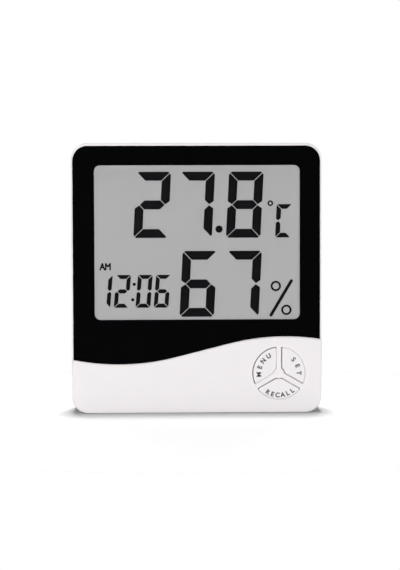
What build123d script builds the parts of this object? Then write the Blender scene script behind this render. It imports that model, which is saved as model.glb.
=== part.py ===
from build123d import *
import os
from math import asin, atan2, cos, degrees, hypot, pi, radians, sin, sqrt, tan

# Thermometer, hygrometer and clock with a large LCD, in millimetres.
# X runs to the viewer's right, the front faces -Y, Z is up and the case stands on Z = 0.
# Depths are measured backwards from the white front face of the case.

# Case shells
CASE_WIDTH = 100.0
CASE_HEIGHT = 108.0
CASE_CORNER_RADIUS = 6.5
CASE_WALL = 2.0
FRONT_SHELL_DEPTH = 10.5
FRONT_EDGE_FILLET = 0.4
REAR_EDGE_FILLET = 2.0
LIP_DEPTH = 1.5
LIP_THICKNESS = 0.9
LIP_CLEARANCE = 0.1
SEAM_BEVEL = 0.2
CUT_OVERRUN = 1.0

# S-shaped line between the black panel and the white foot: its lowest and highest points, the places
# as shares of the case width, and how much steeper its straight middle is than the line between them
WAVE_VALLEY_SHARE = -0.31
WAVE_VALLEY_HEIGHT = 19.3
WAVE_CREST_SHARE = 0.355
WAVE_CREST_HEIGHT = 30.3
WAVE_STEEPNESS_SHARE = 1.5

# Display lens panel, its printed border and tape
PANEL_THICKNESS = 1.5
PANEL_INSET = 0.5
PANEL_DROP = 0.6
PANEL_GAP = 0.15
PANEL_BEVEL = 0.25
PRINT_THICKNESS = 0.06
TAPE_THICKNESS = 0.14
TAPE_INSET = 1.0
PANEL_WALL = 1.0

# Window that the print leaves clear, and the opening in the shell behind it
WINDOW_SIDE_BORDER = 8.9
WINDOW_SHIFT = 0.25
WINDOW_TOP_BORDER = 8.9
WINDOW_SILL = 37.4
WINDOW_RADIUS = 2.4
OPENING_MARGIN = 1.0

# Liquid crystal cell, front to back
GASKET_THICKNESS = 0.3
POLARIZER_THICKNESS = 0.2
GLASS_THICKNESS = 1.1
CELL_GAP = 0.1
SEGMENT_THICKNESS = 0.06
REFLECTOR_THICKNESS = 0.25
GLASS_SIDE_MARGIN = 2.2
GLASS_TOP_MARGIN = 1.8
GLASS_BOTTOM_MARGIN = 1.6
CONTACT_LEDGE = 3.0
FILM_INSET = 0.7
SEAL_WIDTH = 0.9
LCD_CLEARANCE = 0.2
LCD_RIB_THICKNESS = 1.0
LCD_RIB_HEIGHT = 2.0

# Figures on the display: places are shares of the window, widths of its width, heights of its height
LARGE_WIDTH_SHARE = 0.1692
LARGE_HEIGHT_SHARE = 0.4298
LARGE_STROKE_SHARE = 0.135
LARGE_SLANT_SHARE = 0.052
SMALL_WIDTH_SHARE = 0.0722
SMALL_HEIGHT_SHARE = 0.2139
SMALL_STROKE_SHARE = 0.123
SMALL_SLANT_SHARE = 0.083
SCALE_WIDTH_SHARE = 0.0754
SCALE_HEIGHT_SHARE = 0.2168
SCALE_STROKE_SHARE = 0.14
CORNER_CUT_SHARE = 0.3
WAIST_SHARE = 0.35
LARGE_FIGURE_SHARES = {
    "2": (-0.2184, 0.7447),
    "7": (-0.0036, 0.7447),
    "8": (0.2340, 0.7447),
    "6": (0.0059, 0.2297),
    "7 low": (0.2246, 0.2297),
}
SMALL_FIGURE_SHARES = {
    "1": (-0.4551, 0.1826),
    "2": (-0.3659, 0.1826),
    "0": (-0.2596, 0.1826),
    "6": (-0.1710, 0.1826),
}
SCALE_LETTER_SHARES = (0.4240, 0.6392)
POINT_SHARES = (0.1077, 0.5859)
COLON_SHARES = ((-0.3078, 0.2285), (-0.3151, 0.1272))
DEGREE_SHARES = (0.3589, 0.7536)
PERCENT_RING_SHARES = ((0.3856, 0.2139), (0.4373, 0.0575))
PERCENT_BAR_SHARES = ((0.4617, 0.2472), (0.3619, 0.0243))
HALF_DAY_SHARES = (-0.4495, 0.3436)
SEGMENT_GAP = 0.19
POINT_RADIUS = 1.45
COLON_RADIUS = 0.65
DEGREE_RADIUS = 1.15
DEGREE_STROKE = 0.62
PERCENT_RADIUS = 2.1
PERCENT_STROKE = 0.8
PERCENT_BAR_WIDTH = 1.25
LETTER_WIDTH = 1.75
LETTER_HEIGHT = 2.4
LETTER_STROKE = 0.62
LETTER_SPACING = 2.25
SEGMENTS_OF_FIGURE = {
    "0": "abcdef",
    "1": "bc",
    "2": "abged",
    "6": "afgedc",
    "7": "abc",
    "8": "abcdefg",
    "C": "afed",
}

# Frame behind the cell, zebra strip and their screws
FRAME_THICKNESS = 2.25
FRAME_MARGIN = 0.6
FRAME_RAIL = 5.2
FRAME_EAR_RADIUS = 2.4
FRAME_SCREW_FROM_SIDE = 26.0
FRAME_SCREW_RISE = 2.5
ZEBRA_WIDTH = 2.0
ZEBRA_END_MARGIN = 6.0
ZEBRA_CLEARANCE = 0.1
BOSS_RADIUS = 2.2

# Circuit board and what is soldered to its back
BOARD_THICKNESS = 1.2
BOARD_SIDE_GAP = 3.6
BOARD_BOTTOM = 4.0
BOARD_TOP_OVERLAP = 9.2
BOARD_SCREW_INSET = 4.4
BOARD_SCREW_RISE = 8.0
BOARD_SCREW_DROP = 2.8
BOARD_SCREW_BESIDE_BUTTONS = 18.8
BLOB_RADIUS = 6.0
BLOB_HEIGHT = 1.7
BLOB_PLACE = (2.0, 26.0)
CRYSTAL_RADIUS = 1.0
CRYSTAL_LENGTH = 6.0
CRYSTAL_LEAD_RADIUS = 0.2
CRYSTAL_LEAD_LENGTH = 2.5
CRYSTAL_PLACE = (-14.0, 36.0)
CHIP_WIDTH = 2.0
CHIP_LENGTH = 1.25
CHIP_HEIGHT = 0.7
CHIP_PLACES = ((-8.0, 18.0), (-8.0, 22.0), (-8.0, 30.0), (12.0, 20.0), (12.0, 32.0), (-20.0, 28.0))
SENSOR_WIDTH = 12.0
SENSOR_LENGTH = 8.0
SENSOR_HEIGHT = 4.0
SENSOR_SLOT_WIDTH = 0.8
SENSOR_SLOT_DEPTH = 1.2
SENSOR_SLOT_MARGIN = 1.5
SENSOR_SLOT_COUNT = 5
SENSOR_RISE = 6.9
BEAD_RADIUS = 1.3
BEAD_STANDOFF = 5.5
BEAD_LEAD_RADIUS = 0.3
BEAD_LEAD_SPREAD = 1.4
BEAD_DROP = 6.0

# Small self-tapping screws
SCREW_RADIUS = 1.0
SCREW_CLEARANCE = 0.03
SCREW_HOLE_CLEARANCE = 0.3
SCREW_HEAD_RADIUS = 1.9
SCREW_HEAD_HEIGHT = 1.1
SCREW_CROSS_WIDTH = 0.5
SCREW_CROSS_DEPTH = 0.7
SCREW_CROSS_REACH_SHARE = 0.62
SCREW_TIP_GAP = 0.4
CASE_SCREW_RADIUS = 1.25
CASE_SCREW_HEAD_RADIUS = 2.1
CASE_SCREW_HEAD_HEIGHT = 1.6
CASE_SCREW_BITE = 5.0
CASE_SCREW_FROM_EDGE = 5.3
CASE_BOSS_RADIUS = 3.0
CASE_SCREW_SEAT_WALL = 5.5
COUNTERBORE_CLEARANCE = 0.3

# Buttons in a ring cut by a Y-shaped web; each hangs to one side of its opening
CLUSTER_FROM_RIGHT = 17.2
CLUSTER_HEIGHT = 15.8
CLUSTER_RADIUS = 10.65
CLUSTER_HUB_RADIUS = 2.0
CLUSTER_WEB_WIDTH = 1.9
CLUSTER_POCKET_MARGIN = 1.8
BUTTON_TIGHT_GAP = 0.08
BUTTON_WIDE_GAP = 0.36
BUTTON_PROUD = 0.7
BUTTON_FILLET = 0.45
BUTTON_CORNER_RADIUS = 0.5
BUTTON_TRAVEL = 1.0
FLANGE_REACH = 0.55
FLANGE_THICKNESS = 1.0
FLANGE_GAP = 0.1
BUTTON_STEM_RADIUS = 2.0
FIRST_BUTTON_ANGLE = 30
# Gap of each button to the rim of the ring and to the web, round from the first
BUTTON_GAPS = {
    "set_button": (BUTTON_TIGHT_GAP, BUTTON_WIDE_GAP),
    "menu_button": (BUTTON_WIDE_GAP, BUTTON_TIGHT_GAP),
    "recall_button": (BUTTON_TIGHT_GAP, BUTTON_WIDE_GAP),
}

# Silicone keypad under the buttons
KEY_REACH = 6.4
KEY_SHEET_THICKNESS = 1.0
KEY_LOBE_RADIUS = 5.2
DOME_HEIGHT = 2.6
DOME_BASE_RADIUS = 4.0
DOME_TOP_RADIUS = 2.7
DOME_WALL = 0.7
DOME_TOP_WALL = 1.4
PILL_RADIUS = 1.6
PILL_GAP = 0.1

# Stand
STAND_FROM_SIDE = 28.0
STAND_THICKNESS = 3.2
STAND_AXIS_HEIGHT = 53.5
STAND_TIP_HEIGHT = 1.0
STAND_TIP_RADIUS = 4.0
STAND_SINK = 0.3
STAND_SIDE_GAP = 0.4
STAND_FLOOR_GAP = 0.25
STAND_OPEN_ANGLE = 30
STAND_STOP_CLEARANCE = 0.03
STAND_PIN_RADIUS = 1.0
STAND_PIN_LENGTH = 1.6
STAND_PIN_FIT = 0.06
STAND_PIN_END_GAP = 0.3
STAND_PANEL_INSET = 4.5
STAND_PANEL_DEPTH = 0.7
STAND_PANEL_RADIUS = 2.0
STAND_GRIP_COUNT = 4
STAND_GRIP_WIDTH = 0.9
STAND_GRIP_PITCH = 2.2
STAND_GRIP_LENGTH = 16.0
STAND_GRIP_RISE = 3.0
STAND_EDGE_FILLET = 0.4
RECESS_WALL = 2.0
RECESS_HEAD = 2.4

# Battery cell and its contacts
CELL_RADIUS = 5.25
CELL_LENGTH = 44.5
CELL_NUB_RADIUS = 1.9
CELL_NUB_LENGTH = 0.8
CELL_SLEEVE_THICKNESS = 0.15
CELL_SLEEVE_MARGIN = 0.6
CELL_CLEARANCE = 0.2
PLATE_THICKNESS = 0.4
PLATE_WIDTH = 8.0
PLATE_LENGTH = 7.0
TAG_WIDTH = 2.4
TAG_THICKNESS = 0.4
TAG_REACH = 1.4
TAG_CLEARANCE = 0.2
SPRING_SPACE = 5.2
SPRING_WIRE_RADIUS = 0.3
SPRING_BASE_RADIUS = 3.3
SPRING_TOP_RADIUS = 2.1
SPRING_TURNS = 3.5
SPRING_END_GAP = 0.05
QUARTERS_A_TURN = 4

# Battery bay and door
BAY_GAP = 0.3
BAY_FLOOR = 1.0
BAY_WALL = 1.5
BAY_SIDE_CLEARANCE = 0.45
BAY_SPACING = 2.2
DOOR_THICKNESS = 1.6
DOOR_LEDGE = 1.8
DOOR_GAP = 0.4
DOOR_FIT = 0.2
DOOR_CORNER_RADIUS = 0.8
DOOR_EDGE_FILLET = 0.4
DOOR_TAB_WIDTH = 3.0
DOOR_TAB_SPREAD = 7.2
DOOR_TAB_THICKNESS = 1.1
DOOR_TAB_REACH = 1.6
DOOR_TAB_ROOT = 2.4
DOOR_TAB_CLEARANCE = 0.3
DOOR_SKIN_CLEARANCE = 0.1
LATCH_WIDTH = 6.0
LATCH_ROOT = 1.3
LATCH_DEPTH = 1.0
LATCH_NIB_REACH = 0.4
LATCH_NIB_THICKNESS = 0.6
LATCH_SLIT_WIDTH = 0.6
LATCH_SLIT_LENGTH = 6.0
SCOOP_WIDTH = 10.0
SCOOP_REACH = 4.0
SCOOP_DEPTH = 0.9
SCOOP_CORNER_RADIUS = 2.5
DOOR_GROOVE_COUNT = 3
DOOR_GROOVE_WIDTH = 0.8
DOOR_GROOVE_DEPTH = 0.35
DOOR_GROOVE_PITCH = 2.0
DOOR_GROOVE_LENGTH = 8.0
DOOR_GROOVE_FROM_END = 10.0

# Wall keyhole in the back
KEYHOLE_FROM_TOP = 17.0
KEYHOLE_RADIUS = 4.0
KEYHOLE_SLOT_WIDTH = 4.2
KEYHOLE_RISE = 7.0
POCKET_DEPTH = 5.0
POCKET_MARGIN = 1.2
POCKET_WALL = 1.2

# Vents, sound holes and hooks of the rear case
VENT_COUNT = 6
VENT_LENGTH = 14.0
VENT_WIDTH = 1.6
VENT_PITCH = 3.6
VENT_FROM_SIDE = 14.0
VENT_DROP = 3.0
HOOK_FROM_SIDE = 14.0
HOOK_WIDTH = 8.0
HOOK_THICKNESS = 1.2
HOOK_REACH = 3.5
HOOK_ROOT = 3.0
HOOK_CLEARANCE = 0.2
HOOK_NIB_HEIGHT = 0.7
HOOK_NIB_LENGTH = 1.2

# Buzzer glued behind the sound holes
BUZZER_FROM_SIDE = 15.0
BUZZER_FROM_TOP = 19.0
BUZZER_RADIUS = 10.0
BUZZER_THICKNESS = 0.25
BUZZER_CERAMIC_RADIUS = 7.0
BUZZER_CERAMIC_THICKNESS = 0.25
BUZZER_LEDGE = 1.0
BUZZER_LEDGE_HEIGHT = 1.0
BUZZER_RIM = 1.0
BUZZER_RIM_HEIGHT = 1.0
BUZZER_CLEARANCE = 0.2
SOUND_HOLE_RADIUS = 0.7
SOUND_HOLE_RING_RADIUS = 3.2
SOUND_HOLE_COUNT = 6

# Scale and reset switches on the board, worked from the back
SWITCH_FROM_SIDE = 14.0
UNIT_HEIGHT = 38.0
RESET_HEIGHT = 25.0
SWITCH_SIZE = 6.0
SWITCH_BODY_HEIGHT = 3.5
SWITCH_TRAVEL = 0.25
PLUNGER_RADIUS = 1.7
PLUNGER_RISE = 0.9
PLUNGER_ROOT = 1.0
PLUNGER_FIT = 0.08
PLUNGER_FLOOR_GAP = 0.15
UNIT_RADIUS = 3.0
UNIT_FIT = 0.08
UNIT_SINK = 0.2
UNIT_FLANGE_REACH = 1.0
UNIT_FLANGE_THICKNESS = 1.0
UNIT_FLANGE_GAP = 0.1
UNIT_STEM_RADIUS = 1.6
UNIT_EDGE_FILLET = 0.4
RESET_HOLE_RADIUS = 1.2
RESET_TUBE_WALL = 1.1
RESET_TUBE_GAP = 1.0

# Wires: insulation radius, bends, and how far they stand out from the battery bay
WIRE_RADIUS = 0.6
WIRE_BEND = 3.2
WIRE_OUT = 4.0
WIRE_PAD_DROP = 2.5
BUZZER_WIRE_DEPTH = 3.5
BUZZER_WIRE_PLACES = ((1.0, -5.5), (3.6, -7.8))

# Depths worked out from the stack, front to back
PRINT_BACK = PANEL_THICKNESS + PRINT_THICKNESS
STEP = PRINT_BACK + TAPE_THICKNESS
WALL_BACK = STEP + PANEL_WALL
GASKET_BACK = WALL_BACK + GASKET_THICKNESS
POLARIZER_BACK = GASKET_BACK + POLARIZER_THICKNESS
FRONT_GLASS_BACK = POLARIZER_BACK + GLASS_THICKNESS
CELL_BACK = FRONT_GLASS_BACK + CELL_GAP
REAR_GLASS_BACK = CELL_BACK + GLASS_THICKNESS
REFLECTOR_BACK = REAR_GLASS_BACK + REFLECTOR_THICKNESS
BOARD_FRONT = REFLECTOR_BACK + FRAME_THICKNESS
BOARD_BACK = BOARD_FRONT + BOARD_THICKNESS
BAY_FRONT = BOARD_FRONT + BAY_GAP
BAY_FLOOR_BACK = BAY_FRONT + BAY_FLOOR
CELL_DEPTH = BAY_FLOOR_BACK + CELL_CLEARANCE + CELL_RADIUS
DOOR_FRONT = CELL_DEPTH + CELL_RADIUS + DOOR_GAP
CASE_DEPTH = DOOR_FRONT + DOOR_THICKNESS
REAR_WALL_FRONT = CASE_DEPTH - CASE_WALL
FRONT_Y = (BUTTON_PROUD - CASE_DEPTH) / 2

# Places worked out on the front view
HALF_WIDTH = CASE_WIDTH / 2
WINDOW_WIDTH = CASE_WIDTH - 2 * WINDOW_SIDE_BORDER
WINDOW_LEFT = WINDOW_SHIFT - WINDOW_WIDTH / 2
WINDOW_RIGHT = WINDOW_SHIFT + WINDOW_WIDTH / 2
WINDOW_TOP = CASE_HEIGHT - WINDOW_TOP_BORDER
WINDOW_HEIGHT = WINDOW_TOP - WINDOW_SILL
GLASS_LEFT = WINDOW_LEFT - GLASS_SIDE_MARGIN
GLASS_RIGHT = WINDOW_RIGHT + GLASS_SIDE_MARGIN
GLASS_TOP = WINDOW_TOP + GLASS_TOP_MARGIN
REAR_GLASS_BOTTOM = WINDOW_SILL - GLASS_BOTTOM_MARGIN
FRONT_GLASS_BOTTOM = REAR_GLASS_BOTTOM - CONTACT_LEDGE
ZEBRA_HEIGHT = FRONT_GLASS_BOTTOM + CONTACT_LEDGE / 2
BOARD_HALF_WIDTH = HALF_WIDTH - CASE_WALL - BOARD_SIDE_GAP
BOARD_TOP = REAR_GLASS_BOTTOM + BOARD_TOP_OVERLAP
CLUSTER_X = HALF_WIDTH - CLUSTER_FROM_RIGHT
SECTOR_ANGLE = 360 / len(BUTTON_GAPS)
BUTTON_ANGLES = {name: FIRST_BUTTON_ANGLE + SECTOR_ANGLE * place for place, name in enumerate(BUTTON_GAPS)}
FRAME_SCREW_HEIGHT = GLASS_TOP + FRAME_SCREW_RISE
EAR_SCREW_X = BOARD_HALF_WIDTH - BOARD_SCREW_INSET
EAR_SCREW_HEIGHT = FRONT_GLASS_BOTTOM - BOARD_SCREW_DROP
LOW_SCREW_HEIGHT = BOARD_BOTTOM + BOARD_SCREW_RISE
FRAME_SCREW_X = HALF_WIDTH - FRAME_SCREW_FROM_SIDE
FRAME_SCREWS = [(-FRAME_SCREW_X, FRAME_SCREW_HEIGHT), (FRAME_SCREW_X, FRAME_SCREW_HEIGHT)]
EAR_SCREWS = [(-EAR_SCREW_X, EAR_SCREW_HEIGHT), (EAR_SCREW_X, EAR_SCREW_HEIGHT)]
LOW_SCREWS = [(-EAR_SCREW_X, LOW_SCREW_HEIGHT), (CLUSTER_X - BOARD_SCREW_BESIDE_BUTTONS, LOW_SCREW_HEIGHT)]
CASE_SCREW_X = HALF_WIDTH - CASE_SCREW_FROM_EDGE
CASE_SCREWS = [(-CASE_SCREW_X, CASE_SCREW_FROM_EDGE), (CASE_SCREW_X, CASE_SCREW_FROM_EDGE)]
CASE_SCREW_SEAT = BOARD_FRONT + CASE_SCREW_SEAT_WALL

# Places worked out on the back
STAND_WIDTH = CASE_WIDTH - 2 * STAND_FROM_SIDE
STAND_AXIS_DEPTH = CASE_DEPTH - STAND_SINK - STAND_THICKNESS / 2
RECESS_FLOOR = CASE_DEPTH - STAND_SINK - STAND_THICKNESS - STAND_FLOOR_GAP
RECESS_HALF_WIDTH = STAND_WIDTH / 2 + STAND_SIDE_GAP
RECESS_TOP = STAND_AXIS_HEIGHT + RECESS_HEAD
BAY_HALF_HEIGHT = CELL_RADIUS + BAY_SIDE_CLEARANCE
DOOR_RECESS_HALF_HEIGHT = BAY_HALF_HEIGHT + DOOR_LEDGE
BAY_HEIGHT = RECESS_TOP + RECESS_WALL + BAY_SPACING + DOOR_RECESS_HALF_HEIGHT
BAY_HALF_LENGTH = (CELL_LENGTH + SPRING_SPACE) / 2 + PLATE_THICKNESS
DOOR_RECESS_HALF_LENGTH = BAY_HALF_LENGTH + DOOR_LEDGE
DOOR_HALF_LENGTH = DOOR_RECESS_HALF_LENGTH - DOOR_FIT
DOOR_HALF_HEIGHT = DOOR_RECESS_HALF_HEIGHT - DOOR_FIT
DOOR_TAB_FRONT = DOOR_FRONT - DOOR_TAB_THICKNESS
KEYHOLE_HEIGHT = CASE_HEIGHT - KEYHOLE_FROM_TOP
POCKET_FRONT = REAR_WALL_FRONT - POCKET_DEPTH
VENT_X = HALF_WIDTH - VENT_FROM_SIDE
SENSOR_MIDDLE = EAR_SCREW_HEIGHT + SENSOR_RISE
VENT_MIDDLE = SENSOR_MIDDLE - VENT_DROP
BEAD_MIDDLE = EAR_SCREW_HEIGHT - BEAD_DROP
HOOK_X = HALF_WIDTH - HOOK_FROM_SIDE
BUZZER_X = HALF_WIDTH - BUZZER_FROM_SIDE
BUZZER_HEIGHT = CASE_HEIGHT - BUZZER_FROM_TOP
BUZZER_BACK = REAR_WALL_FRONT - BUZZER_LEDGE_HEIGHT
SWITCH_X = SWITCH_FROM_SIDE - HALF_WIDTH
SWITCH_TOP = BOARD_BACK + SWITCH_BODY_HEIGHT
PLUNGER_TOP = SWITCH_TOP + PLUNGER_RISE
PLATE_FRONT = CELL_DEPTH - PLATE_LENGTH / 2
WIRE_PAD_HEIGHT = BOARD_TOP - WIRE_PAD_DROP
TAG_END = BAY_HALF_LENGTH + BAY_WALL + TAG_REACH


def face_plane(depth):
    """Plane seen from the front at that depth: its x is X and its y is Z."""
    return Plane(origin=(0, FRONT_Y + depth, 0), x_dir=(1, 0, 0), z_dir=(0, -1, 0))


def slab(outline, near, far):
    """An outline of the front view, as thick as the two depths are apart."""
    return extrude(face_plane(far) * outline, amount=far - near, dir=(0, -1, 0))


def spot(x, height, radius):
    """A disc of the front view."""
    return Pos(x, height) * Circle(radius)


def pane(left, right, bottom, top, radius=0):
    """A rectangle of the front view, with rounded corners where it has a radius."""
    width = right - left
    height = top - bottom
    shape = RectangleRounded(width, height, radius) if radius else Rectangle(width, height)
    return Pos((left + right) / 2, (bottom + top) / 2) * shape


def along_x(radius, left, right, depth, height):
    """A round bar along X."""
    start = Plane(origin=(left, FRONT_Y + depth, height), z_dir=(1, 0, 0))
    return start * Cylinder(radius, right - left, align=(Align.CENTER, Align.CENTER, Align.MIN))


def case_outline(inset):
    """Outline of the case on the front view, drawn in by that much."""
    shape = RectangleRounded(CASE_WIDTH - 2 * inset, CASE_HEIGHT - 2 * inset, CASE_CORNER_RADIUS - inset)
    return Pos(0, CASE_HEIGHT / 2) * shape


def below_wave(rise):
    """Everything under the S-shaped line, lifted by that much: two equal arcs joined by a straight."""
    valley_x = WAVE_VALLEY_SHARE * CASE_WIDTH
    crest_x = WAVE_CREST_SHARE * CASE_WIDTH
    run = crest_x - valley_x
    climb = WAVE_CREST_HEIGHT - WAVE_VALLEY_HEIGHT
    slope = WAVE_STEEPNESS_SHARE * atan2(climb, run)
    radius = (run * sin(slope) - climb * cos(slope)) / (2 - 2 * cos(slope))
    end = HALF_WIDTH + CUT_OVERRUN
    left_turn = degrees(asin((valley_x + end) / radius))
    right_turn = degrees(asin((end - crest_x) / radius))
    tilt = degrees(slope)
    valley_middle = (valley_x, WAVE_VALLEY_HEIGHT + rise + radius)
    crest_middle = (crest_x, WAVE_CREST_HEIGHT + rise - radius)
    valley = CenterArc(valley_middle, radius, -90 - left_turn, left_turn + tilt)
    crest = CenterArc(crest_middle, radius, 90 + tilt, -right_turn - tilt)
    straight = Line(valley @ 1, crest @ 0)
    rest = Polyline(crest @ 1, (end, -CUT_OVERRUN), (-end, -CUT_OVERRUN), valley @ 0)
    return make_face([*valley.edges(), *straight.edges(), *crest.edges(), *rest.edges()])


def front_edges(piece):
    """Edges round the face that is nearest to the viewer."""
    return piece.faces().sort_by(Axis.Y)[0].edges()


def back_edges(piece):
    """Edges round the face that is furthest from the viewer."""
    return piece.faces().sort_by(Axis.Y)[-1].edges()


def window(margin):
    """The clear window, widened all round by a margin."""
    return pane(
        WINDOW_LEFT - margin,
        WINDOW_RIGHT + margin,
        WINDOW_SILL - margin,
        WINDOW_TOP + margin,
        WINDOW_RADIUS,
    )


def glass(bottom, inset):
    """Outline of one glass of the cell, from that bottom edge up, drawn in by an inset."""
    return pane(GLASS_LEFT + inset, GLASS_RIGHT - inset, bottom + inset, GLASS_TOP - inset)


def sector(angle, rim_grow, web_grow):
    """One third of the button ring, between two arms of the Y, grown at the rim and at the web."""
    ring = Circle(CLUSTER_RADIUS + rim_grow) - Circle(CLUSTER_HUB_RADIUS - web_grow)
    apex = (CLUSTER_WEB_WIDTH / 2 - web_grow) / sin(radians(SECTOR_ANGLE / 2))
    reach = 2 * CLUSTER_RADIUS
    rise = reach * tan(radians(SECTOR_ANGLE / 2))
    wedge = make_face(Polyline((apex, 0), (apex + reach, -rise), (apex + reach, rise), close=True))
    third = ring & wedge
    third = fillet(third.vertices(), BUTTON_CORNER_RADIUS)
    return Pos(CLUSTER_X, CLUSTER_HEIGHT) * Rot(0, 0, angle) * third


def key_place(angle):
    """Middle of the dome under one button."""
    turn = radians(angle)
    return CLUSTER_X + KEY_REACH * cos(turn), CLUSTER_HEIGHT + KEY_REACH * sin(turn)


def front_case():
    """Front shell: white foot, step for the panel, LCD opening, button openings, bosses."""
    shell = slab(case_outline(0), STEP, FRONT_SHELL_DEPTH)
    shell = fillet(front_edges(shell), FRONT_EDGE_FILLET)
    shell = chamfer(back_edges(shell), SEAM_BEVEL)
    foot = slab(case_outline(0) & below_wave(0), 0, STEP + FRONT_EDGE_FILLET)
    shell += fillet(front_edges(foot), FRONT_EDGE_FILLET)
    shell -= slab(case_outline(CASE_WALL), WALL_BACK, FRONT_SHELL_DEPTH + CUT_OVERRUN)
    low = pane(-HALF_WIDTH, HALF_WIDTH, 0, WAVE_VALLEY_HEIGHT - CASE_WALL) & case_outline(CASE_WALL)
    hollow = low + spot(CLUSTER_X, CLUSTER_HEIGHT, CLUSTER_RADIUS + CLUSTER_POCKET_MARGIN)
    shell -= slab(hollow, CASE_WALL, WALL_BACK)
    shell -= slab(window(OPENING_MARGIN), 0, WALL_BACK + CUT_OVERRUN)
    for angle in BUTTON_ANGLES.values():
        shell -= slab(sector(angle, 0, 0), -CUT_OVERRUN, WALL_BACK)
    rib = glass(FRONT_GLASS_BOTTOM, -LCD_CLEARANCE - LCD_RIB_THICKNESS)
    rib -= glass(FRONT_GLASS_BOTTOM, -LCD_CLEARANCE)
    shell += slab(rib, WALL_BACK, WALL_BACK + LCD_RIB_HEIGHT)
    for place in FRAME_SCREWS + EAR_SCREWS:
        shell += slab(spot(*place, BOSS_RADIUS), CASE_WALL, REFLECTOR_BACK)
    for place in LOW_SCREWS:
        shell += slab(spot(*place, BOSS_RADIUS), CASE_WALL, BOARD_FRONT)
    for place in CASE_SCREWS:
        shell += slab(spot(*place, CASE_BOSS_RADIUS) & case_outline(CASE_WALL / 2), CASE_WALL, BOARD_FRONT)
    for place in FRAME_SCREWS + EAR_SCREWS + LOW_SCREWS:
        shell -= slab(spot(*place, SCREW_RADIUS + SCREW_CLEARANCE), WALL_BACK, BOARD_FRONT)
    for place in CASE_SCREWS:
        tip = BOARD_FRONT - CASE_SCREW_BITE - SCREW_TIP_GAP
        shell -= slab(spot(*place, CASE_SCREW_RADIUS + SCREW_CLEARANCE), tip, BOARD_FRONT)
    rebate = case_outline(CASE_WALL - LIP_THICKNESS - LIP_CLEARANCE) - case_outline(CASE_WALL + LIP_CLEARANCE)
    shell -= slab(rebate, FRONT_SHELL_DEPTH - LIP_DEPTH - LIP_CLEARANCE, FRONT_SHELL_DEPTH)
    ceiling = CASE_HEIGHT - CASE_WALL
    for side in (-1, 1):
        half = HOOK_WIDTH / 2 + HOOK_CLEARANCE
        catch = pane(side * HOOK_X - half, side * HOOK_X + half, ceiling, ceiling + HOOK_NIB_HEIGHT)
        near = FRONT_SHELL_DEPTH - HOOK_REACH - HOOK_CLEARANCE
        shell -= slab(catch, near, near + HOOK_NIB_LENGTH + 2 * HOOK_CLEARANCE)
    return shell


def lens_outline():
    """Outline of the panel that covers the front above the S-shaped line."""
    return Pos(0, -PANEL_DROP) * case_outline(PANEL_INSET) - below_wave(PANEL_GAP)


def display_lens():
    """Clear panel in front of everything."""
    panel = slab(lens_outline(), 0, PANEL_THICKNESS)
    return chamfer(front_edges(panel), PANEL_BEVEL)


def lens_border_print():
    """Black print on the back of the panel, clear in the window."""
    return slab(lens_outline() - window(0), PANEL_THICKNESS, PRINT_BACK)


def lens_tape():
    """Double-sided tape between the print and the step of the shell."""
    outline = case_outline(PANEL_INSET + TAPE_INSET) - below_wave(PANEL_GAP + TAPE_INSET)
    return slab(outline - window(OPENING_MARGIN + TAPE_INSET / 2), PRINT_BACK, STEP)


def lcd_gasket():
    """Foam frame between the shell and the cell."""
    ring = glass(FRONT_GLASS_BOTTOM, 0) - window(OPENING_MARGIN)
    return slab(ring, WALL_BACK, GASKET_BACK)


def lcd_front_polarizer():
    """Film on the front of the cell."""
    return slab(glass(REAR_GLASS_BOTTOM, FILM_INSET), GASKET_BACK, POLARIZER_BACK)


def lcd_front_glass():
    """Front glass, longer below than the rear one, so that its contacts show."""
    return slab(glass(FRONT_GLASS_BOTTOM, 0), POLARIZER_BACK, FRONT_GLASS_BACK)


def lcd_seal():
    """Sealant round the edge between the two glasses."""
    ring = glass(REAR_GLASS_BOTTOM, 0) - glass(REAR_GLASS_BOTTOM, SEAL_WIDTH)
    return slab(ring, FRONT_GLASS_BACK, CELL_BACK)


def lcd_rear_glass():
    """Rear glass of the cell."""
    return slab(glass(REAR_GLASS_BOTTOM, 0), CELL_BACK, REAR_GLASS_BACK)


def lcd_reflector():
    """Grey reflecting film on the back of the cell."""
    return slab(glass(REAR_GLASS_BOTTOM, FILM_INSET), REAR_GLASS_BACK, REFLECTOR_BACK)


def on_window(shares):
    """Place on the front view from shares of the window, across from its middle and up from its sill."""
    return WINDOW_SHIFT + shares[0] * WINDOW_WIDTH, WINDOW_SILL + shares[1] * WINDOW_HEIGHT


def segment_corners(width, height, stroke):
    """Corner points of the seven segments of an upright figure about its middle."""
    right = width / 2
    top = height / 2
    gap = SEGMENT_GAP
    cut = CORNER_CUT_SHARE * stroke
    waist = WAIST_SHARE * stroke
    upper = [
        (cut - right, top),
        (right - cut, top),
        (right - (cut + gap) / 2, top - (cut - gap) / 2),
        (right - stroke - gap, top - stroke),
        (stroke + gap - right, top - stroke),
        ((cut + gap) / 2 - right, top - (cut - gap) / 2),
    ]
    flank = [
        (right - (cut - gap) / 2, top - (cut + gap) / 2),
        (right, top - cut - gap),
        (right, waist + gap),
        (right - stroke / 2, gap),
        (right - stroke, stroke / 2 + gap),
        (right - stroke, top - stroke - gap),
    ]
    bar = [
        (stroke / 2 + gap - right, 0),
        (stroke + gap - right, stroke / 2),
        (right - stroke - gap, stroke / 2),
        (right - stroke / 2 - gap, 0),
        (right - stroke - gap, -stroke / 2),
        (stroke + gap - right, -stroke / 2),
    ]
    return {
        "a": upper,
        "b": flank,
        "c": [(x, -z) for x, z in flank],
        "d": [(x, -z) for x, z in upper],
        "e": [(-x, -z) for x, z in flank],
        "f": [(-x, z) for x, z in flank],
        "g": bar,
    }


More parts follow.
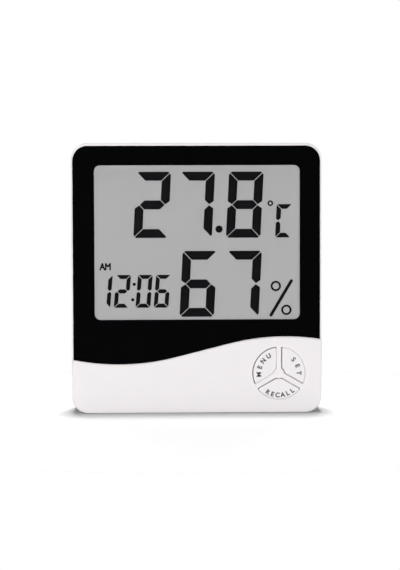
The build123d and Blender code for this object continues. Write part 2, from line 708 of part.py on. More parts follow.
def figure(name, shares, width_share, height_share, stroke_share, slant):
    """Lit segments of one slanted figure, as outlines of the front view."""
    x, z = on_window(shares)
    height = height_share * WINDOW_HEIGHT
    corners = segment_corners(width_share * WINDOW_WIDTH, height, stroke_share * height)
    outlines = []
    for letter in SEGMENTS_OF_FIGURE[name]:
        leaning = [(x + dx + slant * dz, z + dz) for dx, dz in corners[letter]]
        outlines.append(make_face(Polyline(*leaning, close=True)))
    return outlines


def ring_mark(shares, radius, stroke):
    """A small ring of the display."""
    place = on_window(shares)
    return spot(*place, radius) - spot(*place, radius - stroke)


def bar_mark(start, end, width):
    """A straight stroke of the display with round ends."""
    path = Line(start, end)
    stroke = trace(path, width)
    return stroke + spot(*start, width / 2) + spot(*end, width / 2)


def half_day_letters():
    """The two small capitals that mark the morning."""
    x, z = on_window(HALF_DAY_SHARES)
    foot = z - LETTER_HEIGHT / 2
    head = z + LETTER_HEIGHT / 2
    first = x - LETTER_SPACING / 2
    second = x + LETTER_SPACING / 2
    half = LETTER_WIDTH / 2
    first_strokes = [
        ((first - half, foot), (first, head)),
        ((first + half, foot), (first, head)),
        ((first - half / 2, z - LETTER_STROKE / 2), (first + half / 2, z - LETTER_STROKE / 2)),
    ]
    second_strokes = [
        ((second - half, foot), (second - half, head)),
        ((second - half, head), (second, z)),
        ((second, z), (second + half, head)),
        ((second + half, foot), (second + half, head)),
    ]
    letters = []
    for strokes in (first_strokes, second_strokes):
        letter = bar_mark(*strokes[0], LETTER_STROKE)
        for stroke in strokes[1:]:
            letter += bar_mark(*stroke, LETTER_STROKE)
        letters.append(letter)
    return letters


def lcd_segments():
    """Everything that is lit on the display, as thin separate solids on the rear glass."""
    marks = []
    for name, shares in LARGE_FIGURE_SHARES.items():
        marks += figure(
            name[0], shares, LARGE_WIDTH_SHARE, LARGE_HEIGHT_SHARE, LARGE_STROKE_SHARE, LARGE_SLANT_SHARE
        )
    for name, shares in SMALL_FIGURE_SHARES.items():
        marks += figure(
            name, shares, SMALL_WIDTH_SHARE, SMALL_HEIGHT_SHARE, SMALL_STROKE_SHARE, SMALL_SLANT_SHARE
        )
    marks += figure(
        "C", SCALE_LETTER_SHARES, SCALE_WIDTH_SHARE, SCALE_HEIGHT_SHARE, SCALE_STROKE_SHARE, LARGE_SLANT_SHARE
    )
    marks.append(spot(*on_window(POINT_SHARES), POINT_RADIUS))
    marks += [spot(*on_window(shares), COLON_RADIUS) for shares in COLON_SHARES]
    marks.append(ring_mark(DEGREE_SHARES, DEGREE_RADIUS, DEGREE_STROKE))
    marks += [ring_mark(shares, PERCENT_RADIUS, PERCENT_STROKE) for shares in PERCENT_RING_SHARES]
    bar_ends = [on_window(shares) for shares in PERCENT_BAR_SHARES]
    marks.append(bar_mark(*bar_ends, PERCENT_BAR_WIDTH))
    marks += half_day_letters()
    return [slab(mark, CELL_BACK - SEGMENT_THICKNESS, CELL_BACK) for mark in marks]


def zebra_outline(clearance):
    """Outline of the rubber connector strip, widened by a clearance."""
    half = ZEBRA_WIDTH / 2 + clearance
    left = GLASS_LEFT + ZEBRA_END_MARGIN - clearance
    right = GLASS_RIGHT - ZEBRA_END_MARGIN + clearance
    return pane(left, right, ZEBRA_HEIGHT - half, ZEBRA_HEIGHT + half)


def lcd_frame():
    """Plastic frame that holds the cell to the shell and guides the zebra strip."""
    outer = pane(
        GLASS_LEFT - FRAME_MARGIN,
        GLASS_RIGHT + FRAME_MARGIN,
        FRONT_GLASS_BOTTOM - FRAME_MARGIN,
        GLASS_TOP + FRAME_MARGIN,
    )
    for place in FRAME_SCREWS + EAR_SCREWS:
        outer += spot(*place, FRAME_EAR_RADIUS)
    outer -= glass(REAR_GLASS_BOTTOM, FRAME_RAIL)
    outer -= zebra_outline(ZEBRA_CLEARANCE)
    for place in FRAME_SCREWS + EAR_SCREWS:
        outer -= spot(*place, SCREW_RADIUS + SCREW_HOLE_CLEARANCE)
    return slab(outer, REFLECTOR_BACK, BOARD_FRONT)


def zebra_strip():
    """Rubber connector from the ledge of the front glass to the board."""
    return slab(zebra_outline(0), FRONT_GLASS_BACK, BOARD_FRONT)


def circuit_board():
    """Board behind the buttons and the lower edge of the cell."""
    outline = pane(-BOARD_HALF_WIDTH, BOARD_HALF_WIDTH, BOARD_BOTTOM, BOARD_TOP)
    for place in CASE_SCREWS:
        outline -= spot(*place, CASE_BOSS_RADIUS + SCREW_HOLE_CLEARANCE)
    for place in EAR_SCREWS + LOW_SCREWS:
        outline -= spot(*place, SCREW_RADIUS + SCREW_HOLE_CLEARANCE)
    return slab(outline, BOARD_FRONT, BOARD_BACK)


def chip_blob():
    """Drop of black resin over the chip: the cap of a ball."""
    ball_radius = (BLOB_RADIUS**2 + BLOB_HEIGHT**2) / (2 * BLOB_HEIGHT)
    x, height = BLOB_PLACE
    middle = Pos(x, FRONT_Y + BOARD_BACK + BLOB_HEIGHT - ball_radius, height)
    above_board = slab(spot(x, height, ball_radius), BOARD_BACK, BOARD_BACK + BLOB_HEIGHT)
    return (middle * Sphere(ball_radius)) & above_board


def clock_crystal():
    """Small can of the clock crystal lying on the board, with its two leads."""
    x, height = CRYSTAL_PLACE
    depth = BOARD_BACK + CRYSTAL_RADIUS
    piece = along_x(CRYSTAL_RADIUS, x, x + CRYSTAL_LENGTH, depth, height)
    for side in (-1, 1):
        lead_height = height + side * CRYSTAL_RADIUS / 2
        piece += along_x(CRYSTAL_LEAD_RADIUS, x - CRYSTAL_LEAD_LENGTH, x, depth, lead_height)
        foot = spot(x - CRYSTAL_LEAD_LENGTH, lead_height, CRYSTAL_LEAD_RADIUS)
        piece += slab(foot, BOARD_BACK, depth + CRYSTAL_LEAD_RADIUS)
    return piece


def board_chips():
    """Small resistors and capacitors."""
    half = CHIP_WIDTH / 2
    rise = CHIP_LENGTH / 2
    outlines = [pane(x - half, x + half, z - rise, z + rise) for x, z in CHIP_PLACES]
    return [slab(outline, BOARD_BACK, BOARD_BACK + CHIP_HEIGHT) for outline in outlines]


def humidity_sensor():
    """Slotted housing of the humidity sensor, behind the vents."""
    half = SENSOR_WIDTH / 2
    rise = SENSOR_LENGTH / 2
    top = BOARD_BACK + SENSOR_HEIGHT
    outline = pane(VENT_X - half, VENT_X + half, SENSOR_MIDDLE - rise, SENSOR_MIDDLE + rise)
    piece = slab(outline, BOARD_BACK, top)
    reach = half - SENSOR_SLOT_MARGIN
    pitch = (SENSOR_LENGTH - 2 * SENSOR_SLOT_MARGIN) / SENSOR_SLOT_COUNT
    for index in range(SENSOR_SLOT_COUNT):
        middle = SENSOR_MIDDLE + (index - (SENSOR_SLOT_COUNT - 1) / 2) * pitch
        low = middle - SENSOR_SLOT_WIDTH / 2
        slot = pane(VENT_X - reach, VENT_X + reach, low, low + SENSOR_SLOT_WIDTH)
        piece -= slab(slot, top - SENSOR_SLOT_DEPTH, top)
    return piece


def thermistor():
    """Bead of the temperature sensor on two bare leads."""
    depth = BOARD_BACK + BEAD_STANDOFF
    piece = Pos(VENT_X, FRONT_Y + depth, BEAD_MIDDLE) * Sphere(BEAD_RADIUS)
    for side in (-1, 1):
        lead = spot(VENT_X + side * BEAD_LEAD_SPREAD / 2, BEAD_MIDDLE, BEAD_LEAD_RADIUS)
        piece += slab(lead, BOARD_BACK, depth)
    return piece


def screw(place, seat, length, radius, head_radius, head_height):
    """A pan-head screw with a crossed recess, driven forwards from its seat."""
    piece = slab(spot(*place, head_radius), seat, seat + head_height)
    piece = fillet(back_edges(piece), head_height / 2)
    piece += slab(spot(*place, radius), seat - length, seat)
    x, height = place
    reach = head_radius * SCREW_CROSS_REACH_SHARE
    half = SCREW_CROSS_WIDTH / 2
    cross = pane(x - reach, x + reach, height - half, height + half)
    cross += pane(x - half, x + half, height - reach, height + reach)
    return piece - slab(cross, seat + head_height - SCREW_CROSS_DEPTH, seat + head_height)


def small_screws(places, seat):
    """Screws of the small size at these places, down to just short of the bottom of their holes."""
    length = seat - WALL_BACK - SCREW_TIP_GAP
    sizes = (length, SCREW_RADIUS, SCREW_HEAD_RADIUS, SCREW_HEAD_HEIGHT)
    return [screw(place, seat, *sizes) for place in places]


def case_screws():
    """Two longer screws that close the case at its lower corners."""
    length = CASE_SCREW_SEAT - BOARD_FRONT + CASE_SCREW_BITE
    sizes = (length, CASE_SCREW_RADIUS, CASE_SCREW_HEAD_RADIUS, CASE_SCREW_HEAD_HEIGHT)
    return [screw(place, CASE_SCREW_SEAT, *sizes) for place in CASE_SCREWS]


def sector_button(angle, rim_gap, web_gap):
    """A sector-shaped cap, the flange that keeps it in and the stem that presses its dome."""
    flange_front = CASE_WALL + FLANGE_GAP
    flange_back = flange_front + FLANGE_THICKNESS
    cap = slab(sector(angle, -rim_gap, -web_gap), -BUTTON_PROUD, flange_front)
    cap = fillet(front_edges(cap), BUTTON_FILLET)
    cap += slab(sector(angle, FLANGE_REACH, FLANGE_REACH), flange_front, flange_back)
    dome_top = BOARD_FRONT - KEY_SHEET_THICKNESS - DOME_HEIGHT
    return cap + slab(spot(*key_place(angle), BUTTON_STEM_RADIUS), flange_back, dome_top)


def dome(angle, depth, height, base_radius, top_radius):
    """A blunt cone that stands forwards from that depth."""
    x, z = key_place(angle)
    cone = Cone(base_radius, top_radius, height, align=(Align.CENTER, Align.CENTER, Align.MIN))
    return face_plane(depth) * Pos(x, z, 0) * cone


def keypad():
    """Silicone sheet with three hollow domes, lying on the board."""
    sheet_front = BOARD_FRONT - KEY_SHEET_THICKNESS
    outline = spot(CLUSTER_X, CLUSTER_HEIGHT, KEY_REACH)
    for angle in BUTTON_ANGLES.values():
        outline += spot(*key_place(angle), KEY_LOBE_RADIUS)
    sheet = slab(outline, sheet_front, BOARD_FRONT)
    inner_height = KEY_SHEET_THICKNESS + DOME_HEIGHT - DOME_TOP_WALL
    for angle in BUTTON_ANGLES.values():
        sheet += dome(angle, sheet_front, DOME_HEIGHT, DOME_BASE_RADIUS, DOME_TOP_RADIUS)
        inner_base = DOME_BASE_RADIUS - DOME_WALL
        sheet -= dome(angle, BOARD_FRONT, inner_height, inner_base, DOME_TOP_RADIUS - DOME_WALL)
    return sheet


def contact_pill(angle):
    """Carbon pill under one dome, one travel above the board."""
    front = BOARD_FRONT - KEY_SHEET_THICKNESS - DOME_HEIGHT + DOME_TOP_WALL
    return slab(spot(*key_place(angle), PILL_RADIUS), front, BOARD_FRONT - BUTTON_TRAVEL - PILL_GAP)


def bay_end(side, near, far, half_width, inner, outer, middle=0):
    """A block at one end of the battery bay, between two distances from the middle of the case."""
    left, right = sorted((side * inner, side * outer))
    height = BAY_HEIGHT + middle
    return slab(pane(left, right, height - half_width, height + half_width), near, far)


def keyhole():
    """Round entry and the slot above it."""
    half = KEYHOLE_SLOT_WIDTH / 2
    top = KEYHOLE_HEIGHT + KEYHOLE_RISE
    outline = spot(0, KEYHOLE_HEIGHT, KEYHOLE_RADIUS) + pane(-half, half, KEYHOLE_HEIGHT, top)
    return outline + spot(0, top, half)


def keyhole_pocket(grow):
    """Space behind the keyhole for the head of a wall screw."""
    half = KEYHOLE_RADIUS + POCKET_MARGIN + grow
    top = KEYHOLE_HEIGHT + KEYHOLE_RISE + KEYHOLE_RADIUS + POCKET_MARGIN + grow
    return pane(-half, half, KEYHOLE_HEIGHT - half, top)


def rear_shell():
    """Plain rear shell with its lip, before anything is added or cut."""
    shell = slab(case_outline(0), FRONT_SHELL_DEPTH, CASE_DEPTH)
    shell = fillet(back_edges(shell), REAR_EDGE_FILLET)
    shell = chamfer(front_edges(shell), SEAM_BEVEL)
    shell -= slab(case_outline(CASE_WALL), FRONT_SHELL_DEPTH - CUT_OVERRUN, REAR_WALL_FRONT)
    lip = case_outline(CASE_WALL - LIP_THICKNESS) - case_outline(CASE_WALL)
    return shell + slab(lip, FRONT_SHELL_DEPTH - LIP_DEPTH, FRONT_SHELL_DEPTH)


def rear_additions():
    """Walls, posts, hooks and rims that stand on the inside of the rear case."""
    inside = case_outline(CASE_WALL / 2)
    recess_half = RECESS_HALF_WIDTH + RECESS_WALL
    recess = pane(-recess_half, recess_half, 0, RECESS_TOP + RECESS_WALL) & inside
    pieces = [slab(recess, RECESS_FLOOR - RECESS_WALL, REAR_WALL_FRONT)]
    bay_half = BAY_HALF_HEIGHT + BAY_WALL
    bay_reach = BAY_HALF_LENGTH + BAY_WALL
    bay = pane(-bay_reach, bay_reach, BAY_HEIGHT - bay_half, BAY_HEIGHT + bay_half)
    pieces.append(slab(bay, BAY_FRONT, REAR_WALL_FRONT))
    pieces.append(slab(keyhole_pocket(POCKET_WALL), POCKET_FRONT - POCKET_WALL, REAR_WALL_FRONT))
    lip_front = FRONT_SHELL_DEPTH - LIP_DEPTH
    for place in CASE_SCREWS:
        post = spot(*place, CASE_BOSS_RADIUS)
        pieces.append(slab(post & case_outline(CASE_WALL + LIP_CLEARANCE), BOARD_FRONT, lip_front))
        pieces.append(slab(post & case_outline(CASE_WALL - LIP_THICKNESS), lip_front, REAR_WALL_FRONT))
    rim_radius = BUZZER_RADIUS + BUZZER_CLEARANCE + BUZZER_RIM
    rim_front = BUZZER_BACK - BUZZER_RIM_HEIGHT
    pieces.append(slab(spot(BUZZER_X, BUZZER_HEIGHT, rim_radius), rim_front, REAR_WALL_FRONT))
    tube = spot(SWITCH_X, RESET_HEIGHT, RESET_HOLE_RADIUS + RESET_TUBE_WALL)
    pieces.append(slab(tube, PLUNGER_TOP + RESET_TUBE_GAP, REAR_WALL_FRONT))
    ceiling = CASE_HEIGHT - CASE_WALL
    tongue_top = ceiling - HOOK_CLEARANCE
    tongue_front = FRONT_SHELL_DEPTH - HOOK_REACH
    for side in (-1, 1):
        left = side * HOOK_X - HOOK_WIDTH / 2
        right = left + HOOK_WIDTH
        tongue = pane(left, right, tongue_top - HOOK_THICKNESS, tongue_top)
        pieces.append(slab(tongue, tongue_front, FRONT_SHELL_DEPTH + HOOK_ROOT))
        root = pane(left, right, tongue_top - HOOK_THICKNESS, ceiling)
        pieces.append(slab(root, FRONT_SHELL_DEPTH, FRONT_SHELL_DEPTH + HOOK_ROOT))
        nib = pane(left, right, tongue_top, tongue_top + HOOK_NIB_HEIGHT)
        pieces.append(slab(nib, tongue_front, tongue_front + HOOK_NIB_LENGTH))
    return pieces


def rear_cuts():
    """Recesses, bores, slots and holes of the rear case."""
    back = CASE_DEPTH + CUT_OVERRUN
    recess = pane(-RECESS_HALF_WIDTH, RECESS_HALF_WIDTH, -CUT_OVERRUN, RECESS_TOP)
    pieces = [slab(recess, RECESS_FLOOR, back)]
    pin_end = STAND_WIDTH / 2 + STAND_PIN_LENGTH + STAND_PIN_END_GAP
    pin_bore = STAND_PIN_RADIUS + STAND_PIN_FIT
    pieces.append(along_x(pin_bore, -pin_end, pin_end, STAND_AXIS_DEPTH, STAND_AXIS_HEIGHT))
    bay = pane(-BAY_HALF_LENGTH, BAY_HALF_LENGTH, BAY_HEIGHT - BAY_HALF_HEIGHT, BAY_HEIGHT + BAY_HALF_HEIGHT)
    pieces.append(slab(bay, BAY_FLOOR_BACK, back))
    door_bottom = BAY_HEIGHT - DOOR_RECESS_HALF_HEIGHT
    door_top = BAY_HEIGHT + DOOR_RECESS_HALF_HEIGHT
    reach = DOOR_RECESS_HALF_LENGTH
    seat = pane(-reach, reach, door_bottom, door_top, DOOR_CORNER_RADIUS)
    pieces.append(slab(seat, DOOR_FRONT, back))
    door_axis_depth = CASE_DEPTH - DOOR_EDGE_FILLET
    swing = hypot(DOOR_TAB_REACH + DOOR_EDGE_FILLET, door_axis_depth - DOOR_TAB_FRONT)
    slot_front = door_axis_depth - swing - DOOR_TAB_CLEARANCE
    skin = DOOR_FRONT + DOOR_SKIN_CLEARANCE
    tab_half = DOOR_TAB_WIDTH / 2 + DOOR_TAB_CLEARANCE
    tab_reach = DOOR_HALF_LENGTH + DOOR_TAB_REACH + DOOR_TAB_CLEARANCE
    for side in (-1, 1):
        middle = side * DOOR_TAB_SPREAD / 2
        pieces.append(bay_end(-1, slot_front, skin, tab_half, BAY_HALF_LENGTH, tab_reach, middle))
    latch_half = LATCH_WIDTH / 2 + DOOR_TAB_CLEARANCE
    latch_front = DOOR_FRONT - LATCH_DEPTH - DOOR_TAB_CLEARANCE
    latch_reach = DOOR_HALF_LENGTH + LATCH_NIB_REACH + DOOR_TAB_CLEARANCE
    pieces.append(bay_end(1, latch_front, skin, latch_half, BAY_HALF_LENGTH, latch_reach))
    scoop_end = reach + SCOOP_REACH
    scoop_bottom = BAY_HEIGHT - SCOOP_WIDTH / 2
    scoop_top = scoop_bottom + SCOOP_WIDTH
    scoop = pane(reach - SCOOP_REACH, scoop_end, scoop_bottom, scoop_top, SCOOP_CORNER_RADIUS)
    pieces.append(slab(scoop, CASE_DEPTH - SCOOP_DEPTH, back))
    tag_half = TAG_THICKNESS / 2 + TAG_CLEARANCE
    tag_near = CELL_DEPTH - TAG_WIDTH / 2 - TAG_CLEARANCE
    tag_far = CELL_DEPTH + TAG_WIDTH / 2 + TAG_CLEARANCE
    for side in (-1, 1):
        wall_end = BAY_HALF_LENGTH + BAY_WALL + CUT_OVERRUN
        pieces.append(bay_end(side, tag_near, tag_far, tag_half, BAY_HALF_LENGTH, wall_end))
    pieces.append(slab(keyhole_pocket(0), POCKET_FRONT, REAR_WALL_FRONT))
    pieces.append(slab(keyhole(), REAR_WALL_FRONT, back))
    for index in range(VENT_COUNT):
        middle = VENT_MIDDLE + (index - (VENT_COUNT - 1) / 2) * VENT_PITCH
        slot = Pos(VENT_X, middle) * SlotOverall(VENT_LENGTH, VENT_WIDTH)
        pieces.append(slab(slot, REAR_WALL_FRONT, back))
    for place in CASE_SCREWS:
        shank = spot(*place, CASE_SCREW_RADIUS + SCREW_HOLE_CLEARANCE)
        pieces.append(slab(shank, BOARD_FRONT, CASE_SCREW_SEAT))
        head = spot(*place, CASE_SCREW_HEAD_RADIUS + COUNTERBORE_CLEARANCE)
        pieces.append(slab(head, CASE_SCREW_SEAT, back))
    buzzer_seat = spot(BUZZER_X, BUZZER_HEIGHT, BUZZER_RADIUS + BUZZER_CLEARANCE)
    pieces.append(slab(buzzer_seat, BUZZER_BACK - BUZZER_RIM_HEIGHT, BUZZER_BACK))
    chamber = spot(BUZZER_X, BUZZER_HEIGHT, BUZZER_RADIUS - BUZZER_LEDGE)
    pieces.append(slab(chamber, BUZZER_BACK, REAR_WALL_FRONT))
    holes = [(0, 0)]
    for index in range(SOUND_HOLE_COUNT):
        turn = 2 * pi * index / SOUND_HOLE_COUNT
        holes.append((SOUND_HOLE_RING_RADIUS * cos(turn), SOUND_HOLE_RING_RADIUS * sin(turn)))
    for dx, dz in holes:
        pieces.append(slab(spot(BUZZER_X + dx, BUZZER_HEIGHT + dz, SOUND_HOLE_RADIUS), REAR_WALL_FRONT, back))
    pieces.append(slab(spot(SWITCH_X, UNIT_HEIGHT, UNIT_RADIUS + UNIT_FIT), REAR_WALL_FRONT, back))
    pieces.append(slab(spot(SWITCH_X, RESET_HEIGHT, RESET_HOLE_RADIUS), PLUNGER_TOP, back))
    return pieces


def rear_case():
    """Rear shell with everything that is moulded on it."""
    shell = rear_shell()
    for piece in rear_additions():
        shell += piece
    for piece in rear_cuts():
        shell -= piece
    return shell


def stand():
    """Fold-out leg with its two trunnions and the heel that stops it."""
    half = STAND_WIDTH / 2
    near = STAND_AXIS_DEPTH - STAND_THICKNESS / 2
    far = STAND_AXIS_DEPTH + STAND_THICKNESS / 2
    outline = pane(-half, half, STAND_TIP_HEIGHT, STAND_AXIS_HEIGHT)
    outline = fillet(outline.vertices().sort_by(Axis.Y)[:2], STAND_TIP_RADIUS)
    leg = slab(outline, near, far)
    leg = fillet(back_edges(leg).sort_by(Axis.Z)[:-1], STAND_EDGE_FILLET)
    panel = pane(
        STAND_PANEL_INSET - half,
        half - STAND_PANEL_INSET,
        STAND_TIP_HEIGHT + STAND_PANEL_INSET,
        STAND_AXIS_HEIGHT - STAND_PANEL_INSET,
        STAND_PANEL_RADIUS,
    )
    leg -= slab(panel, far - STAND_PANEL_DEPTH, far)
    for index in range(STAND_GRIP_COUNT):
        low = STAND_TIP_HEIGHT + STAND_PANEL_INSET + STAND_GRIP_RISE + index * STAND_GRIP_PITCH
        reach = STAND_GRIP_LENGTH / 2
        leg += slab(pane(-reach, reach, low, low + STAND_GRIP_WIDTH), far - STAND_PANEL_DEPTH, far)
    angle = radians(STAND_OPEN_ANGLE)
    floor_reach = STAND_THICKNESS / 2 + STAND_FLOOR_GAP - STAND_STOP_CLEARANCE
    heel = (floor_reach - STAND_THICKNESS / 2 * cos(angle)) / sin(angle)
    leg += slab(pane(-half, half, STAND_AXIS_HEIGHT, STAND_AXIS_HEIGHT + heel), near, STAND_AXIS_DEPTH)
    leg += along_x(STAND_THICKNESS / 2, -half, half, STAND_AXIS_DEPTH, STAND_AXIS_HEIGHT)
    pin = half + STAND_PIN_LENGTH
    return leg + along_x(STAND_PIN_RADIUS, -pin, pin, STAND_AXIS_DEPTH, STAND_AXIS_HEIGHT)


def battery_door():
    """Door with two tabs at its hinge end and a sprung latch tongue at the other."""
    bottom = BAY_HEIGHT - DOOR_HALF_HEIGHT
    top = BAY_HEIGHT + DOOR_HALF_HEIGHT
    outline = pane(-DOOR_HALF_LENGTH, DOOR_HALF_LENGTH, bottom, top, DOOR_CORNER_RADIUS)
    door = slab(outline, DOOR_FRONT, CASE_DEPTH)
    hinge_edges = door.faces().sort_by(Axis.X)[0].edges().filter_by(Axis.Z)
    door = fillet(hinge_edges, DOOR_EDGE_FILLET)
    tab_half = DOOR_TAB_WIDTH / 2
    for side in (-1, 1):
        middle = side * DOOR_TAB_SPREAD / 2
        inner = DOOR_HALF_LENGTH - DOOR_TAB_ROOT
        outer = DOOR_HALF_LENGTH + DOOR_TAB_REACH
        door += bay_end(-1, DOOR_TAB_FRONT, DOOR_FRONT, tab_half, inner, outer, middle)
    latch_front = DOOR_FRONT - LATCH_DEPTH
    latch_half = LATCH_WIDTH / 2
    inner = DOOR_HALF_LENGTH - LATCH_ROOT
    door += bay_end(1, latch_front, DOOR_FRONT, latch_half, inner, DOOR_HALF_LENGTH)
    nib_back = latch_front + LATCH_NIB_THICKNESS
    nib_end = DOOR_HALF_LENGTH + LATCH_NIB_REACH
    door += bay_end(1, latch_front, nib_back, latch_half, DOOR_HALF_LENGTH, nib_end)
    for side in (-1, 1):
        middle = side * (latch_half + LATCH_SLIT_WIDTH / 2)
        slit = LATCH_SLIT_WIDTH / 2
        inner = DOOR_HALF_LENGTH - LATCH_SLIT_LENGTH
        door -= bay_end(1, DOOR_FRONT, CASE_DEPTH, slit, inner, DOOR_HALF_LENGTH + CUT_OVERRUN, middle)
    for index in range(DOOR_GROOVE_COUNT):
        outer = DOOR_HALF_LENGTH - DOOR_GROOVE_FROM_END - index * DOOR_GROOVE_PITCH
        groove_front = CASE_DEPTH - DOOR_GROOVE_DEPTH
        door -= bay_end(1, groove_front, CASE_DEPTH, DOOR_GROOVE_LENGTH / 2, outer - DOOR_GROOVE_WIDTH, outer)
    return door


def cell_end():
    """Where the flat end of the cell stands, left of the middle."""
    return SPRING_SPACE + PLATE_THICKNESS - BAY_HALF_LENGTH


def battery_cell():
    """Can of the cell with its positive nub."""
    start = cell_end()
    shoulder = start + CELL_LENGTH - CELL_NUB_LENGTH
    can = along_x(CELL_RADIUS - CELL_SLEEVE_THICKNESS, start, shoulder, CELL_DEPTH, BAY_HEIGHT)
    return can + along_x(CELL_NUB_RADIUS, shoulder, start + CELL_LENGTH, CELL_DEPTH, BAY_HEIGHT)


def battery_sleeve():
    """Plastic sleeve round the can."""
    start = cell_end() + CELL_SLEEVE_MARGIN
    end = cell_end() + CELL_LENGTH - CELL_NUB_LENGTH - CELL_SLEEVE_MARGIN
    outside = along_x(CELL_RADIUS, start, end, CELL_DEPTH, BAY_HEIGHT)
    return outside - along_x(CELL_RADIUS - CELL_SLEEVE_THICKNESS, start, end, CELL_DEPTH, BAY_HEIGHT)


def contact_plate(side):
    """Plated contact at one end of the bay, with the tag that its wire is soldered to."""
    inner = BAY_HALF_LENGTH - PLATE_THICKNESS
    half = PLATE_WIDTH / 2
    plate = bay_end(side, PLATE_FRONT, PLATE_FRONT + PLATE_LENGTH, half, inner, BAY_HALF_LENGTH)
    tag_near = CELL_DEPTH - TAG_WIDTH / 2
    return plate + bay_end(side, tag_near, tag_near + TAG_WIDTH, TAG_THICKNESS / 2, inner, TAG_END)


def coil_point(turn):
    """Point and direction of the spring's middle line after that many turns."""
    start = PLATE_THICKNESS - BAY_HALF_LENGTH + SPRING_WIRE_RADIUS + SPRING_END_GAP
    length = SPRING_SPACE - 2 * SPRING_WIRE_RADIUS - 2 * SPRING_END_GAP
    grown = turn / SPRING_TURNS
    slope = (SPRING_TOP_RADIUS - SPRING_BASE_RADIUS) / SPRING_TURNS
    radius = SPRING_BASE_RADIUS + slope * turn
    angle = 2 * pi * turn
    across = Vector(0, cos(angle), sin(angle))
    round_it = Vector(0, -sin(angle), cos(angle))
    middle = Vector(start + length * grown, FRONT_Y + CELL_DEPTH, BAY_HEIGHT)
    way = Vector(length / SPRING_TURNS, 0, 0) + across * slope + round_it * (2 * pi * radius)
    return middle + across * radius, way.normalized()


def biarc(start, start_way, end, end_way):
    """Two arcs that leave one point and reach another in the given directions."""
    span = end - start
    bend = 1 - start_way.dot(end_way)
    lean = span.dot(start_way + end_way)
    reach = (sqrt(lean**2 + 2 * bend * span.dot(span)) - lean) / (2 * bend)
    first_corner = start + start_way * reach
    last_corner = end - end_way * reach
    middle = (first_corner + last_corner) / 2
    middle_way = (last_corner - first_corner).normalized()
    return [Edge.make_tangent_arc(start, start_way, middle), Edge.make_tangent_arc(middle, middle_way, end)]


def battery_spring():
    """Conical coil spring against the flat end of the cell, one unbroken wire."""
    arcs = []
    for quarter in range(round(SPRING_TURNS * QUARTERS_A_TURN)):
        ends = coil_point(quarter / QUARTERS_A_TURN) + coil_point((quarter + 1) / QUARTERS_A_TURN)
        arcs += biarc(*ends)
    path = Wire(arcs)
    start, way = coil_point(0)
    turn_gaps = []
    for quarter in range(round((SPRING_TURNS - 1) * QUARTERS_A_TURN) + 1):
        here = coil_point(quarter / QUARTERS_A_TURN)[0]
        next_turn = coil_point(quarter / QUARTERS_A_TURN + 1)[0]
        turn_gaps.append((next_turn - here).length - 2 * SPRING_WIRE_RADIUS)
    print("spring: least gap between turns", round(min(turn_gaps), 2))
    return sweep(Plane(origin=start, z_dir=way) * Circle(SPRING_WIRE_RADIUS), path=path)


def wire(points):
    """An insulated wire through these points, rounded at its bends."""
    path = FilletPolyline(*points, radius=WIRE_BEND)
    section = Plane(origin=path @ 0, z_dir=path % 0) * Circle(WIRE_RADIUS)
    return sweep(section, path=path)


def battery_wire(side):
    """Wire from the tag of one contact down to the board."""
    out = side * (TAG_END + WIRE_OUT)
    depth = FRONT_Y + CELL_DEPTH
    return wire(
        [
            (side * TAG_END, depth, BAY_HEIGHT),
            (out, depth, BAY_HEIGHT),
            (out, depth, WIRE_PAD_HEIGHT),
            (out, FRONT_Y + BOARD_BACK, WIRE_PAD_HEIGHT),
        ]
    )


def buzzer_wires():
    """Two wires from the buzzer's ceramic and disc down to the board."""
    starts = (BUZZER_BACK - BUZZER_THICKNESS - BUZZER_CERAMIC_THICKNESS, BUZZER_BACK - BUZZER_THICKNESS)
    wires = []
    for start, (dx, dz) in zip(starts, BUZZER_WIRE_PLACES):
        x = BUZZER_X + dx
        height = BUZZER_HEIGHT + dz
        depth = FRONT_Y + BOARD_BACK + BUZZER_WIRE_DEPTH
        points = [
            (x, FRONT_Y + start, height),
            (x, depth, height),
            (x, depth, WIRE_PAD_HEIGHT),
            (x, FRONT_Y + BOARD_BACK, WIRE_PAD_HEIGHT),
        ]
        wires.append(wire(points))
    return wires


def buzzer_disc():
    """Brass disc on the ledge behind the sound holes."""
    return slab(spot(BUZZER_X, BUZZER_HEIGHT, BUZZER_RADIUS), BUZZER_BACK - BUZZER_THICKNESS, BUZZER_BACK)


def buzzer_ceramic():
    """Ceramic wafer on the front of the disc."""
    back = BUZZER_BACK - BUZZER_THICKNESS
    return slab(spot(BUZZER_X, BUZZER_HEIGHT, BUZZER_CERAMIC_RADIUS), back - BUZZER_CERAMIC_THICKNESS, back)


def switch_body(height):
    """Square body of a push switch on the back of the board."""
    half = SWITCH_SIZE / 2
    body = slab(pane(SWITCH_X - half, SWITCH_X + half, height - half, height + half), BOARD_BACK, SWITCH_TOP)
    bottom = SWITCH_TOP - PLUNGER_ROOT - SWITCH_TRAVEL - PLUNGER_FLOOR_GAP
    return body - slab(spot(SWITCH_X, height, PLUNGER_RADIUS + PLUNGER_FIT), bottom, SWITCH_TOP)


def switch_plunger(height):
    """Round plunger of a push switch."""
    return slab(spot(SWITCH_X, height, PLUNGER_RADIUS), SWITCH_TOP - PLUNGER_ROOT, PLUNGER_TOP)


def unit_button():
    """Round button of the scale switch, with its flange and stem."""
    flange_back = REAR_WALL_FRONT - UNIT_FLANGE_GAP
    flange_front = flange_back - UNIT_FLANGE_THICKNESS
    cap = slab(spot(SWITCH_X, UNIT_HEIGHT, UNIT_RADIUS), flange_back, CASE_DEPTH - UNIT_SINK)
    cap = fillet(back_edges(cap), UNIT_EDGE_FILLET)
    cap += slab(spot(SWITCH_X, UNIT_HEIGHT, UNIT_RADIUS + UNIT_FLANGE_REACH), flange_front, flange_back)
    return cap + slab(spot(SWITCH_X, UNIT_HEIGHT, UNIT_STEM_RADIUS), PLUNGER_TOP, flange_front)


